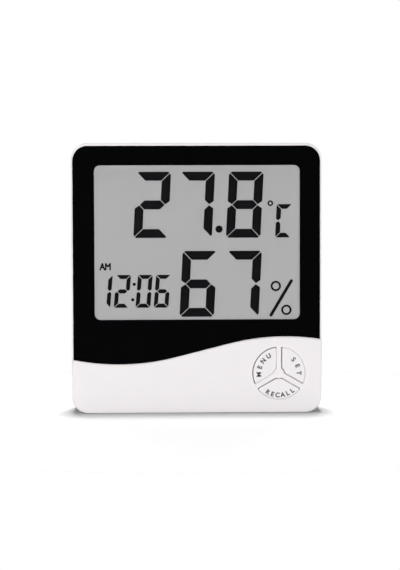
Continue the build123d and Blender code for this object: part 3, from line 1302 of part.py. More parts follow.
def build():
    """All pieces by the name of their node."""
    pieces = {
        "front_case": front_case(),
        "display_lens": display_lens(),
        "lens_border_print": lens_border_print(),
        "lens_tape": lens_tape(),
        "lcd_gasket": lcd_gasket(),
        "lcd_front_polarizer": lcd_front_polarizer(),
        "lcd_front_glass": lcd_front_glass(),
        "lcd_seal": lcd_seal(),
        "lcd_segments": lcd_segments(),
        "lcd_rear_glass": lcd_rear_glass(),
        "lcd_reflector": lcd_reflector(),
        "lcd_frame": lcd_frame(),
        "frame_screws": small_screws(FRAME_SCREWS, BOARD_FRONT),
        "zebra_strip": zebra_strip(),
        "circuit_board": circuit_board(),
        "board_screws": small_screws(EAR_SCREWS + LOW_SCREWS, BOARD_BACK),
        "chip_blob": chip_blob(),
        "clock_crystal": clock_crystal(),
        "board_chips": board_chips(),
        "humidity_sensor": humidity_sensor(),
        "thermistor": thermistor(),
        "keypad": keypad(),
        "rear_case": rear_case(),
        "case_screws": case_screws(),
        "stand": stand(),
        "battery_door": battery_door(),
        "battery_cell": battery_cell(),
        "battery_sleeve": battery_sleeve(),
        "positive_plate": contact_plate(1),
        "negative_plate": contact_plate(-1),
        "negative_spring": battery_spring(),
        "positive_wire": battery_wire(1),
        "negative_wire": battery_wire(-1),
        "buzzer_disc": buzzer_disc(),
        "buzzer_ceramic": buzzer_ceramic(),
        "buzzer_wires": buzzer_wires(),
        "unit_button": unit_button(),
        "unit_switch": switch_body(UNIT_HEIGHT),
        "unit_switch_plunger": switch_plunger(UNIT_HEIGHT),
        "reset_switch": switch_body(RESET_HEIGHT),
        "reset_switch_plunger": switch_plunger(RESET_HEIGHT),
    }
    for name, angle in BUTTON_ANGLES.items():
        pieces[name] = sector_button(angle, *BUTTON_GAPS[name])
        pieces[name.replace("button", "pill")] = contact_pill(angle)
    return pieces


os.makedirs("parts", exist_ok=True)
for node, piece in build().items():
    solids = piece if isinstance(piece, list) else [piece]
    loose = [solid for group in solids for solid in group.solids()]
    export_step(Compound(children=loose) if len(loose) > 1 else loose[0], f"parts/{node}.step")
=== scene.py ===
"""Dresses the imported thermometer, hygrometer and clock and sets the studio round it."""

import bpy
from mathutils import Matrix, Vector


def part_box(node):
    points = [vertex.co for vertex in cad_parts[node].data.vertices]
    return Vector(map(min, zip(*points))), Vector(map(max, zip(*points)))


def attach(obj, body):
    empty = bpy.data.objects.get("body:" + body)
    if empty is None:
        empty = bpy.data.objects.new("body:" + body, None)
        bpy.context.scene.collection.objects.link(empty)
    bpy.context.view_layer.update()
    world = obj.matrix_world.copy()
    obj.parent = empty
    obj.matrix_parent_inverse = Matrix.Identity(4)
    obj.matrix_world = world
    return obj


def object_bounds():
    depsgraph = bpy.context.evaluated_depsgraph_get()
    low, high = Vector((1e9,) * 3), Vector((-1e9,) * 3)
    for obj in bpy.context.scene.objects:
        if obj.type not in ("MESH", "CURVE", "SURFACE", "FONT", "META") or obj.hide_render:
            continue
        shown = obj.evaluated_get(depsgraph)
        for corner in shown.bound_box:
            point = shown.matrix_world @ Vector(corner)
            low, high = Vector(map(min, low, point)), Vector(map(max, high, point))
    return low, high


bl_info = {
    "name": "Thermometer hygrometer clock",
    "version": (1, 0, 0),
    "blender": (4, 5, 0),
    "location": "3D View > Sidebar > Clock",
    "description": "Finishes, lettering and studio of a small LCD thermometer, hygrometer and clock",
    "category": "Object",
}

from math import cos, radians, sin

import bmesh
import bpy
from bpy.props import FloatProperty, FloatVectorProperty, PointerProperty, StringProperty
from mathutils import Matrix, Vector

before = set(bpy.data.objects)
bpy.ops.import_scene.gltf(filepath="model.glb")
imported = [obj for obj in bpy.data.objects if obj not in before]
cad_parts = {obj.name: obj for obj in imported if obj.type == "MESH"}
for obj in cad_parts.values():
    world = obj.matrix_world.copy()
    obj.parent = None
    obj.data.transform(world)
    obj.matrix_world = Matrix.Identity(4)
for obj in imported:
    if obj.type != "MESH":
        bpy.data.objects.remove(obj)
CAD_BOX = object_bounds()
MM = 0.001

# Surface patterns, in metres
FLOW_MARK_SIZE = 12 * MM
TARNISH_SIZE = 3 * MM
SMEAR_SIZE = 9 * MM
BOARD_TRACK_SIZE = 6 * MM
BOARD_TRACK_RELIEF = 0.03 * MM
PAPER_FIBRE_SIZE = 0.5 * MM
PAPER_FIBRE_RELIEF = 0.01 * MM
# How far the gloss goes up and down with a moulded grain and with drawn lines
GRAIN_GLOSS_SHARE = 0.15
LINE_GLOSS_SHARE = 0.3
# Drawn lines are this much longer than wide
LINE_STRETCH = 8
# Radians that a wave texture runs through in one unit
WAVE_RADIANS = 20

# Height of a capital as a share of the size of its type
CAPITAL_SHARE = 0.7
# Drop of a moulded mark below its switch, as a share of the height of its letters
MARK_DROP_SHARE = 1.1
# Words round the button ring, in degrees: middle of the word, and step to the next letter, negative clockwise
LEFT_WORD_MIDDLE = 152.0
LEFT_LETTER_STEP = -20.8
RIGHT_WORD_MIDDLE = 22.0
RIGHT_LETTER_STEP = -21.4
LOWER_WORD_MIDDLE = 273.0
LOWER_LETTER_STEP = 13.6

# Studio, in metres: places of the lamps, width and height of their faces, and the floor
LAMP_AIM = (0, 0, 0.05)
KEY_PLACE = (-0.34, -0.9, 0.2)
FILL_PLACE = (0.44, -0.9, 0.12)
FRONT_LAMP_SIZE = (0.22, 0.22)
TOP_PLACE = (0, -0.3, 0.9)
TOP_LAMP_SIZE = (0.3, 0.3)
FLOOR_LAMP_PLACE = (0, 0.29, 3.0)
FLOOR_LAMP_SIZE = (0.29, 0.6)
REAR_LEFT_PLACE = (-0.3, 0.93, 0.26)
REAR_RIGHT_PLACE = (0.3, 0.93, 0.26)
REAR_LAMP_SIZE = (0.25, 0.25)
FLOOR_RADIUS = 0.16
FLOOR_SIDES = 96
CAMERA_CLIP_START = 0.01
# A mirrored direction with this share of it to the rear meets the full white of the backdrop
BACKDROP_REAR_SHARE = 0.3
# The display is a stack of clear panes, and each takes two of these
CLEAR_BOUNCES = 24


def linear(hex_colour):
    """Turns an sRGB hex colour into linear red, green and blue."""
    channels = [int(hex_colour[place : place + 2], 16) / 255 for place in (1, 3, 5)]
    return tuple(c / 12.92 if c <= 0.04045 else ((c + 0.055) / 1.055) ** 2.4 for c in channels)


def colour(name, description, hex_colour):
    """A colour that a user can change, with its default as sRGB hex."""
    return FloatVectorProperty(
        name=name, description=description, subtype="COLOR", size=3, min=0, max=1, default=linear(hex_colour)
    )


def length(name, description, default):
    """A length that a user can change, in metres."""
    return FloatProperty(
        name=name, description=description, unit="LENGTH", subtype="DISTANCE", default=default
    )


def angle(name, description, degrees):
    """An angle that a user can change, given in degrees."""
    return FloatProperty(name=name, description=description, subtype="ANGLE", default=radians(degrees))


def power(name, description, watts):
    """The power of a lamp that a user can change, in watts."""
    return FloatProperty(name=name, description=description, unit="POWER", default=watts)


def factor(name, description, default):
    """A plain factor that a user can change."""
    return FloatProperty(name=name, description=description, subtype="FACTOR", default=default)


def word(name, description, default):
    """A word that a user can change."""
    return StringProperty(name=name, description=description, default=default)


class ClockFinish(bpy.types.PropertyGroup):
    """Colours and grain sizes of the pieces."""

    white: colour("White ABS", "Moulded shells, buttons, stand and door", "#F0ECED")
    white_shade: colour("White ABS, shade", "Slightly darker flow marks in the moulding", "#ECE8E9")
    abs_grain: length("Mould grain", "Size of the fine spark-eroded grain", 0.35 * MM)
    ink: colour("Border ink", "Black print behind the panel", "#08080A")
    cell_grey: colour("Cell, off", "Grey of the liquid crystal where it is off", "#BBBBBB")
    cell_dark: colour("Cell, on", "Dark of the segments that are on", "#151518")
    legend: colour("Legends", "Printed words on the buttons", "#1E1B1D")
    board_green: colour("Solder resist", "Green of the circuit board", "#1E5B33")
    sleeve: colour("Cell sleeve", "Plain shrunk sleeve of the battery cell", "#1F4A86")


class ClockLettering(bpy.types.PropertyGroup):
    """Words on the pieces, and where they stand."""

    left_word: word("Left button", "Word on the upper left button", "MENU")
    right_word: word("Right button", "Word on the upper right button", "SET")
    lower_word: word("Lower button", "Word on the lower button", "RECALL")
    cap_height: length("Capital height", "Height of the letters on the buttons", 1.8 * MM)
    bold: length("Stroke growth", "How far the strokes of the typeface are thickened", 0.09 * MM)
    print_depth: length("Print depth", "Thickness of the printed words", 0.02 * MM)
    ring_x: length("Ring across", "Middle of the button ring, to the right of the middle", 32.8 * MM)
    ring_z: length("Ring height", "Middle of the button ring above the base", 15.8 * MM)
    upper_radius: length("Upper words", "Radius of the words on the upper buttons", 8.1 * MM)
    lower_radius: length("Lower word", "Radius of the word on the lower button", 8.7 * MM)
    mark_height: length("Moulded marks", "Height of the letters moulded into the back", 2.2 * MM)
    mark_depth: length("Moulded depth", "How far moulded letters stand proud", 0.3 * MM)


class ClockStage(bpy.types.PropertyGroup):
    """Camera, lamps and floor of the studio."""

    distance: length("Camera distance", "From the camera to the point it looks at", 0.635)
    frame_width: length("Framed width", "Width that the picture takes in at that distance", 0.15967)
    aim_x: length("Aim across", "Point the camera looks at, to the right of the middle", 1.26 * MM)
    aim_z: length("Aim height", "Point the camera looks at, above the base", 51.33 * MM)
    elevation: angle("Elevation", "Camera above the horizon", 2.5)
    yaw: angle("Yaw", "Camera round to the left", 1.5)
    roll: angle("Roll", "Camera tilted clockwise", 0.17)
    key_power: power("Key lamp", "In front, to the left", 4.9)
    fill_power: power("Fill lamp", "In front, to the right", 2.6)
    top_power: power("Top lamp", "Overhead", 1.2)
    floor_power: power("Floor lamp", "High up, on the floor alone", 216.0)
    back_power: power("Rear lamps", "Each of the two behind", 2.4)
    ambient: factor("Ambient", "Even light of the room on matt surfaces", 0.15)
    floor_colour: colour("Floor", "Grey paper, lit up to white", "#959595")
    floor_bounce: factor("Floor bounce", "Share of its light that the floor throws back on the object", 0.4)
    floor_lift: factor("Floor lift", "White that the floor shows of the backdrop", 0.03)


def add_node(tree, kind, inputs=None, links=None, **settings):
    """Adds a node, sets its properties and input values, and links the sockets given for its inputs."""
    node = tree.nodes.new(kind)
    for name, value in settings.items():
        setattr(node, name, value)
    for name, value in (inputs or {}).items():
        node.inputs[name].default_value = value
    for name, socket in (links or {}).items():
        tree.links.new(socket, node.inputs[name])
    return node


def noise(tree, place, size, detail):
    """A noise with features of that size, in metres."""
    return add_node(tree, "ShaderNodeTexNoise", {"Scale": 1 / size, "Detail": detail}, {"Vector": place})


def two_tone(tree, dark, light, pattern):
    """Colour between a dark and a light tone, by a pattern from nought to one."""
    tones = {"A": (*dark, 1), "B": (*light, 1)}
    return add_node(tree, "ShaderNodeMix", tones, {"Factor": pattern}, data_type="RGBA").outputs["Result"]


def between(tree, low, high, pattern):
    """A value between two others, by a pattern from nought to one."""
    ends = {"To Min": low, "To Max": high}
    return add_node(tree, "ShaderNodeMapRange", ends, {"Value": pattern}).outputs["Result"]


def larger(tree, one, other):
    """The larger of two values."""
    return add_node(tree, "ShaderNodeMath", None, {0: one, 1: other}, operation="MAXIMUM").outputs["Value"]


def new_material(name):
    """An empty node material and its output node."""
    material = bpy.data.materials.new(name)
    material.use_nodes = True
    material.node_tree.nodes.clear()
    return material, material.node_tree, material.node_tree.nodes.new("ShaderNodeOutputMaterial")


def moulded(name, light, dark, grain, roughness, depth, ior=1.5):
    """A moulded or cast surface: faint flow marks in its colour, and a grain in its gloss and relief."""
    material, tree, output = new_material(name)
    place = add_node(tree, "ShaderNodeTexCoord").outputs["Object"]
    flow = noise(tree, place, FLOW_MARK_SIZE, 2.0).outputs["Fac"]
    fine = noise(tree, place, grain, 3.0).outputs["Fac"]
    spread = roughness * GRAIN_GLOSS_SHARE
    relief = add_node(tree, "ShaderNodeBump", {"Strength": 0.6, "Distance": depth}, {"Height": fine})
    shader = add_node(
        tree,
        "ShaderNodeBsdfPrincipled",
        {"IOR": ior},
        {
            "Base Color": two_tone(tree, dark, light, flow),
            "Roughness": between(tree, roughness - spread, roughness + spread, fine),
            "Normal": relief.outputs["Normal"],
        },
    )
    tree.links.new(shader.outputs["BSDF"], output.inputs["Surface"])
    return material


def plated(name, light, dark, scratch, roughness):
    """A drawn or rolled metal with its plating: fine lines in its gloss, a little tarnish in its colour."""
    material, tree, output = new_material(name)
    place = add_node(tree, "ShaderNodeTexCoord").outputs["Object"]
    squeeze = {"Scale": (1, LINE_STRETCH, LINE_STRETCH)}
    stretch = add_node(tree, "ShaderNodeMapping", squeeze, {"Vector": place}).outputs["Vector"]
    lines = noise(tree, stretch, LINE_STRETCH * scratch, 4.0).outputs["Fac"]
    tarnish = noise(tree, place, TARNISH_SIZE, 3.0).outputs["Fac"]
    spread = roughness * LINE_GLOSS_SHARE
    shader = add_node(
        tree,
        "ShaderNodeBsdfPrincipled",
        {"Metallic": 1.0},
        {
            "Base Color": two_tone(tree, dark, light, tarnish),
            "Roughness": between(tree, roughness - spread, roughness + spread, lines),
        },
    )
    tree.links.new(shader.outputs["BSDF"], output.inputs["Surface"])
    return material


def clear_pane(name, ior, tint, roughness, haze):
    """A clear flat pane: it mirrors by its index on its outer faces and lets the rest through."""
    material, tree, output = new_material(name)
    place = add_node(tree, "ShaderNodeTexCoord").outputs["Object"]
    smear = noise(tree, place, SMEAR_SIZE, 3.0).outputs["Fac"]
    gloss = between(tree, roughness, roughness + haze, smear)
    mirror = add_node(tree, "ShaderNodeFresnel", {"IOR": ior}).outputs["Fac"]
    inside = add_node(tree, "ShaderNodeNewGeometry").outputs["Backfacing"]
    outside = add_node(tree, "ShaderNodeMath", {0: 1.0}, {1: inside}, operation="SUBTRACT").outputs["Value"]
    mirrored = add_node(tree, "ShaderNodeMath", None, {0: mirror, 1: outside}, operation="MULTIPLY")
    through = add_node(tree, "ShaderNodeBsdfTransparent", {"Color": (*tint, 1)})
    shine = add_node(tree, "ShaderNodeBsdfAnisotropic", None, {"Roughness": gloss})
    pane = add_node(
        tree,
        "ShaderNodeMixShader",
        None,
        {0: mirrored.outputs["Value"], 1: through.outputs["BSDF"], 2: shine.outputs["BSDF"]},
    )
    tree.links.new(pane.outputs["Shader"], output.inputs["Surface"])
    return material


def striped(name, light, dark, radian, roughness):
    """Even stripes, such as layers pressed together; radian is the length of one radian of their wave."""
    material, tree, output = new_material(name)
    place = add_node(tree, "ShaderNodeTexCoord").outputs["Object"]
    stripes = add_node(
        tree,
        "ShaderNodeTexWave",
        {"Scale": 1 / (WAVE_RADIANS * radian), "Distortion": 0.1},
        {"Vector": place},
        wave_type="BANDS",
        bands_direction="X",
    )
    tint = two_tone(tree, dark, light, stripes.outputs["Fac"])
    shader = add_node(tree, "ShaderNodeBsdfPrincipled", {"Roughness": roughness}, {"Base Color": tint})
    tree.links.new(shader.outputs["BSDF"], output.inputs["Surface"])
    return material


def laminate(name, resist, copper):
    """Board laminate under solder resist, with lighter tracks where copper lies below it."""
    material, tree, output = new_material(name)
    place = add_node(tree, "ShaderNodeTexCoord").outputs["Object"]
    grid = add_node(
        tree,
        "ShaderNodeTexBrick",
        {
            "Scale": 1 / BOARD_TRACK_SIZE,
            "Mortar Size": 0.06,
            "Color1": (*resist, 1),
            "Color2": (*resist, 1),
            "Mortar": (*copper, 1),
            "Brick Width": 1.4,
            "Row Height": 0.7,
        },
    )
    turn = add_node(tree, "ShaderNodeMapping", {"Rotation": (radians(90), 0, 0)}, {"Vector": place})
    tree.links.new(turn.outputs["Vector"], grid.inputs["Vector"])
    step = {"Strength": 0.4, "Distance": BOARD_TRACK_RELIEF}
    relief = add_node(tree, "ShaderNodeBump", step, {"Height": grid.outputs["Fac"]})
    shader = add_node(
        tree,
        "ShaderNodeBsdfPrincipled",
        {"Roughness": 0.3, "IOR": 1.55},
        {"Base Color": grid.outputs["Color"], "Normal": relief.outputs["Normal"]},
    )
    tree.links.new(shader.outputs["BSDF"], output.inputs["Surface"])
    return material


def dress(material, *nodes):
    """Gives CAD nodes a finish."""
    for name in nodes:
        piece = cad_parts[name]
        piece.data.materials.clear()
        piece.data.materials.append(material)


def white_abs(finish):
    """White ABS for everything that is moulded of it."""
    made = bpy.data.materials.get("Moulded white ABS")
    # ABS, injection moulded in a finely spark-eroded tool: an even satin white with soft broad highlights
    return made or moulded(
        "Moulded white ABS",
        finish.white,
        finish.white_shade,
        grain=finish.abs_grain,
        roughness=0.42,
        depth=0.012 * MM,
        ior=1.53,
    )


def letter_mesh(letter, height, depth, bold):
    """A letter or word in Blender's own typeface, of that capital height, lying on the XY plane."""
    curve = bpy.data.curves.new("letter", "FONT")
    curve.body = letter
    curve.align_x = "CENTER"
    curve.size = height / CAPITAL_SHARE
    curve.offset = bold
    curve.extrude = depth / 2
    text = bpy.data.objects.new("letter", curve)
    bpy.context.collection.objects.link(text)
    shown = text.evaluated_get(bpy.context.evaluated_depsgraph_get())
    mesh = bpy.data.meshes.new_from_object(shown)
    bpy.data.objects.remove(text)
    bpy.data.curves.remove(curve)
    mesh.transform(Matrix.Translation((0, -height / 2, depth / 2)))
    return mesh


def join_letters(name, placed):
    """One piece out of letter meshes and the matrices that place them."""
    shape = bmesh.new()
    for mesh, matrix in placed:
        mesh.transform(matrix)
        shape.from_mesh(mesh)
        bpy.data.meshes.remove(mesh)
    mesh = bpy.data.meshes.new(name)
    shape.to_mesh(mesh)
    shape.free()
    piece = bpy.data.objects.new(name, mesh)
    bpy.context.collection.objects.link(piece)
    return piece


def on_front(x, y, z, across, up):
    """Matrix that lays a letter on a face that looks to the front, along two directions of the X-Z plane."""
    right = Vector((across[0], 0, across[1]))
    rise = Vector((up[0], 0, up[1]))
    rows = Matrix((right, rise, Vector((0, -1, 0)))).transposed().to_4x4()
    return Matrix.Translation((x, y, z)) @ rows


class CLOCK_OT_dress_shells(bpy.types.Operator):
    """Finish the moulded shells, the stand and the battery door"""

    bl_idname = "clock.dress_shells"
    bl_label = "Shells, stand and door"

    def execute(self, context):
        dress(white_abs(context.scene.clock_finish), "front_case", "rear_case", "stand", "battery_door")
        return {"FINISHED"}


class CLOCK_OT_dress_buttons(bpy.types.Operator):
    """Finish the buttons, the keypad and the carbon pills"""

    bl_idname = "clock.dress_buttons"
    bl_label = "Buttons and keypad"

    def execute(self, context):
        finish = context.scene.clock_finish
        dress(white_abs(finish), "menu_button", "set_button", "recall_button", "unit_button")
        # Silicone rubber, compression moulded: a dull grey with a dusty sheen
        rubber = moulded(
            "Moulded grey silicone",
            linear("#9C9C9E"),
            linear("#8E8E91"),
            grain=0.5 * MM,
            roughness=0.6,
            depth=0.02 * MM,
            ior=1.41,
        )
        dress(rubber, "keypad")
        # Carbon-filled silicone: matt black
        carbon = moulded(
            "Carbon filled silicone",
            linear("#202021"),
            linear("#161617"),
            grain=0.4 * MM,
            roughness=0.75,
            depth=0.02 * MM,
            ior=1.41,
        )
        dress(carbon, "menu_pill", "set_pill", "recall_pill")
        return {"FINISHED"}


class CLOCK_OT_letter_buttons(bpy.types.Operator):
    """Print a plain word along the arc of each button"""

    bl_idname = "clock.letter_buttons"
    bl_label = "Words on the buttons"

    def execute(self, context):
        lettering = context.scene.clock_lettering
        # Pad-printed ink on ABS: a thin dark grey film, a little duller than the plastic
        ink = moulded(
            "Pad printed grey ink",
            context.scene.clock_finish.legend,
            linear("#1A1719"),
            grain=0.3 * MM,
            roughness=0.5,
            depth=0.005 * MM,
        )
        upper = lettering.upper_radius
        lower = lettering.lower_radius
        words = (
            ("menu_button", lettering.left_word, upper, LEFT_WORD_MIDDLE, LEFT_LETTER_STEP),
            ("set_button", lettering.right_word, upper, RIGHT_WORD_MIDDLE, RIGHT_LETTER_STEP),
            ("recall_button", lettering.lower_word, lower, LOWER_WORD_MIDDLE, LOWER_LETTER_STEP),
        )
        for body, letters, radius, middle, step in words:
            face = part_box(body)[0][1]
            side = 1 if step < 0 else -1
            placed = []
            for place, letter in enumerate(letters):
                turn = radians(middle + (place - (len(letters) - 1) / 2) * step)
                out = Vector((cos(turn), sin(turn)))
                x = lettering.ring_x + radius * out.x
                z = lettering.ring_z + radius * out.y
                matrix = on_front(x, face, z, (side * out.y, -side * out.x), side * out)
                mesh = letter_mesh(letter, lettering.cap_height, lettering.print_depth, lettering.bold)
                placed.append((mesh, matrix))
            piece = join_letters(body.replace("button", "legend"), placed)
            piece.data.materials.append(ink)
            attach(piece, body)
        return {"FINISHED"}


class CLOCK_OT_mark_back(bpy.types.Operator):
    """Mould plain marks beside the two small controls on the back"""

    bl_idname = "clock.mark_back"
    bl_label = "Marks on the back"

    def execute(self, context):
        lettering = context.scene.clock_lettering
        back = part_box("rear_case")[1][1]
        height = lettering.mark_height
        marks = (
            ("unit_mark", "unit_switch", "°C/°F"),
            ("reset_mark", "reset_switch", "RESET"),
        )
        for name, node, letters in marks:
            low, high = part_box(node)
            x = (low[0] + high[0]) / 2
            z = low[2] - MARK_DROP_SHARE * height
            matrix = Matrix.Translation((x, back, z)) @ Matrix.Rotation(radians(180), 4, "Z")
            matrix = matrix @ Matrix.Rotation(radians(90), 4, "X")
            piece = join_letters(name, [(letter_mesh(letters, height, lettering.mark_depth, 0), matrix)])
            piece.data.materials.append(white_abs(context.scene.clock_finish))
            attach(piece, "case")
        return {"FINISHED"}


class CLOCK_OT_dress_panel(bpy.types.Operator):
    """Finish the clear panel, its black border and its tape"""

    bl_idname = "clock.dress_panel"
    bl_label = "Display panel"

    def execute(self, context):
        finish = context.scene.clock_finish
        # PMMA, cast and polished: clear and water-white, with mirror-like gloss
        panel = clear_pane("Polished clear PMMA", ior=1.49, tint=(1, 1, 1), roughness=0.02, haze=0.02)
        dress(panel, "display_lens")
        # Screen-printed ink, wetted to the back of the panel: a deep even black without gloss of its own
        ink = moulded(
            "Screen printed black ink",
            finish.ink,
            linear("#070708"),
            grain=0.4 * MM,
            roughness=0.6,
            depth=0.002 * MM,
            ior=1.0,
        )
        dress(ink, "lens_border_print")
        # Foam tape, slit from a roll and wetted to the print: as black as the ink, and dull
        tape = moulded(
            "Slit black foam tape",
            finish.ink,
            linear("#070708"),
            grain=0.3 * MM,
            roughness=0.85,
            depth=0.002 * MM,
            ior=1.0,
        )
        dress(tape, "lens_tape", "lcd_gasket")
        # The photographed cell has no shade along the edge of the ink, so these throw none here
        for name in ("lens_border_print", "lens_tape", "lcd_gasket"):
            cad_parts[name].visible_shadow = False
            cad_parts[name].visible_diffuse = False
        return {"FINISHED"}


class CLOCK_OT_dress_cell(bpy.types.Operator):
    """Finish the liquid crystal cell and what holds it"""

    bl_idname = "clock.dress_cell"
    bl_label = "Liquid crystal display"

    def execute(self, context):
        finish = context.scene.clock_finish
        # Polarizing film, stretched and laminated to the glass: clear, with a faint satin face
        film = clear_pane(
            "Laminated polarizing film", ior=1.2, tint=(0.99, 0.99, 0.99), roughness=0.2, haze=0.05
        )
        dress(film, "lcd_front_polarizer")
        # Soda-lime float glass, its face bonded to the film, so that it mirrors very little
        glass = clear_pane("Bonded float glass", ior=1.05, tint=(1, 1, 1), roughness=0.02, haze=0.01)
        dress(glass, "lcd_front_glass")
        # Twisted liquid crystal before its reflector, off: an even soft grey with a very fine grain
        off = moulded(
            "Liquid crystal, off",
            finish.cell_grey,
            linear("#B9B9B9"),
            grain=0.25 * MM,
            roughness=0.65,
            depth=0.004 * MM,
            ior=1.0,
        )
        dress(off, "lcd_rear_glass", "lcd_reflector")
        # Twisted liquid crystal, on: nearly black, as dull as the grey round it
        on = moulded(
            "Liquid crystal, on",
            finish.cell_dark,
            linear("#131315"),
            grain=0.25 * MM,
            roughness=0.65,
            depth=0.004 * MM,
            ior=1.0,
        )
        dress(on, "lcd_segments")
        # Cured epoxy round the edge of the cell: amber and glossy
        seal = moulded(
            "Cured epoxy seal",
            linear("#8A7A55"),
            linear("#7C6C48"),
            grain=0.6 * MM,
            roughness=0.25,
            depth=0.01 * MM,
        )
        dress(seal, "lcd_seal")
        # Polystyrene, injection moulded: plain off-white
        plain = moulded(
            "Moulded polystyrene",
            linear("#DEDCD8"),
            linear("#D4D2CE"),
            grain=0.5 * MM,
            roughness=0.5,
            depth=0.02 * MM,
            ior=1.59,
        )
        dress(plain, "lcd_frame", "humidity_sensor")
        # Layers of carbon and clear silicone pressed together: fine black and white stripes
        # The real layers are 0.05 mm thick; here a dark and a light one take about 2.5 mm, so that they show
        layers = striped(
            "Layered connector silicone",
            linear("#E2E0DA"),
            linear("#19191A"),
            radian=0.4 * MM,
            roughness=0.6,
        )
        dress(layers, "zebra_strip")
        return {"FINISHED"}


class CLOCK_OT_dress_board(bpy.types.Operator):
    """Finish the circuit board and what is soldered to it"""

    bl_idname = "clock.dress_board"
    bl_label = "Circuit board"

    def execute(self, context):
        finish = context.scene.clock_finish
        # Glass-epoxy laminate, etched and coated with solder resist: glossy green, lighter over the copper
        board = laminate("Etched board laminate", finish.board_green, linear("#3C8B52"))
        dress(board, "circuit_board")
        # Epoxy, dripped on and cured: glossy black with a soft edge
        resin = moulded(
            "Dripped black epoxy",
            linear("#19191B"),
            linear("#121214"),
            grain=0.8 * MM,
            roughness=0.22,
            depth=0.01 * MM,
            ior=1.55,
        )
        dress(resin, "chip_blob", "thermistor")
        # Fired ceramic chips: matt brown
        fired = moulded(
            "Fired brown ceramic",
            linear("#6B563F"),
            linear("#54422F"),
            grain=0.3 * MM,
            roughness=0.6,
            depth=0.01 * MM,
        )
        dress(fired, "board_chips")
        # Polyamide switch bodies, injection moulded: dull black
        switch = moulded(
            "Moulded black polyamide",
            linear("#222224"),
            linear("#1A1A1C"),
            grain=0.3 * MM,
            roughness=0.5,
            depth=0.02 * MM,
        )
        dress(switch, "unit_switch", "unit_switch_plunger", "reset_switch", "reset_switch_plunger")
        # Drawn steel can, tin plated: bright with faint draw lines
        can = plated(
            "Tinned steel can", linear("#C9C8C4"), linear("#B6B5B0"), scratch=0.1 * MM, roughness=0.3
        )
        dress(can, "clock_crystal")
        return {"FINISHED"}


class CLOCK_OT_dress_power(bpy.types.Operator):
    """Finish the battery cell, its contacts, the wires and the buzzer"""

    bl_idname = "clock.dress_power"
    bl_label = "Battery, wires and buzzer"

    def execute(self, context):
        finish = context.scene.clock_finish
        # Deep-drawn steel, nickel plated: bright and slightly warm
        nickel = plated(
            "Nickel plated steel",
            linear("#CFCBC2"),
            linear("#B9B4AA"),
            scratch=0.08 * MM,
            roughness=0.28,
        )
        dress(nickel, "battery_cell", "positive_plate", "negative_plate", "negative_spring")
        # Shrunk PVC sleeve without any print: smooth and glossy
        sleeve = moulded(
            "Shrunk PVC sleeve",
            finish.sleeve,
            linear("#1B4177"),
            grain=1.5 * MM,
            roughness=0.25,
            depth=0.01 * MM,
        )
        dress(sleeve, "battery_sleeve")
        # Extruded PVC insulation: satin red and satin black
        red = moulded(
            "Extruded red PVC",
            linear("#B3201E"),
            linear("#9A1917"),
            grain=0.4 * MM,
            roughness=0.4,
            depth=0.01 * MM,
        )
        dress(red, "positive_wire")
        black = moulded(
            "Extruded black PVC",
            linear("#1E1E20"),
            linear("#171719"),
            grain=0.4 * MM,
            roughness=0.4,
            depth=0.01 * MM,
        )
        dress(black, "negative_wire", "buzzer_wires")
        # Rolled brass sheet: yellow, with fine rolling lines
        brass = plated(
            "Rolled brass", linear("#D9B45B"), linear("#B98F3F"), scratch=0.1 * MM, roughness=0.32
        )
        dress(brass, "buzzer_disc")
        # Fired piezo ceramic with a silver face: pale grey, matt
        silvered = moulded(
            "Silvered ceramic",
            linear("#D6D3CB"),
            linear("#C6C3BB"),
            grain=0.2 * MM,
            roughness=0.45,
            depth=0.01 * MM,
        )
        dress(silvered, "buzzer_ceramic")
        return {"FINISHED"}


class CLOCK_OT_dress_screws(bpy.types.Operator):
    """Finish the screws"""

    bl_idname = "clock.dress_screws"
    bl_label = "Screws"

    def execute(self, context):
        # Cold-headed steel, zinc plated: bluish bright metal with a fine scatter
        zinc = plated(
            "Zinc plated steel", linear("#BFC3C6"), linear("#A4A8AC"), scratch=0.1 * MM, roughness=0.34
        )
        dress(zinc, "case_screws", "board_screws", "frame_screws")
        return {"FINISHED"}


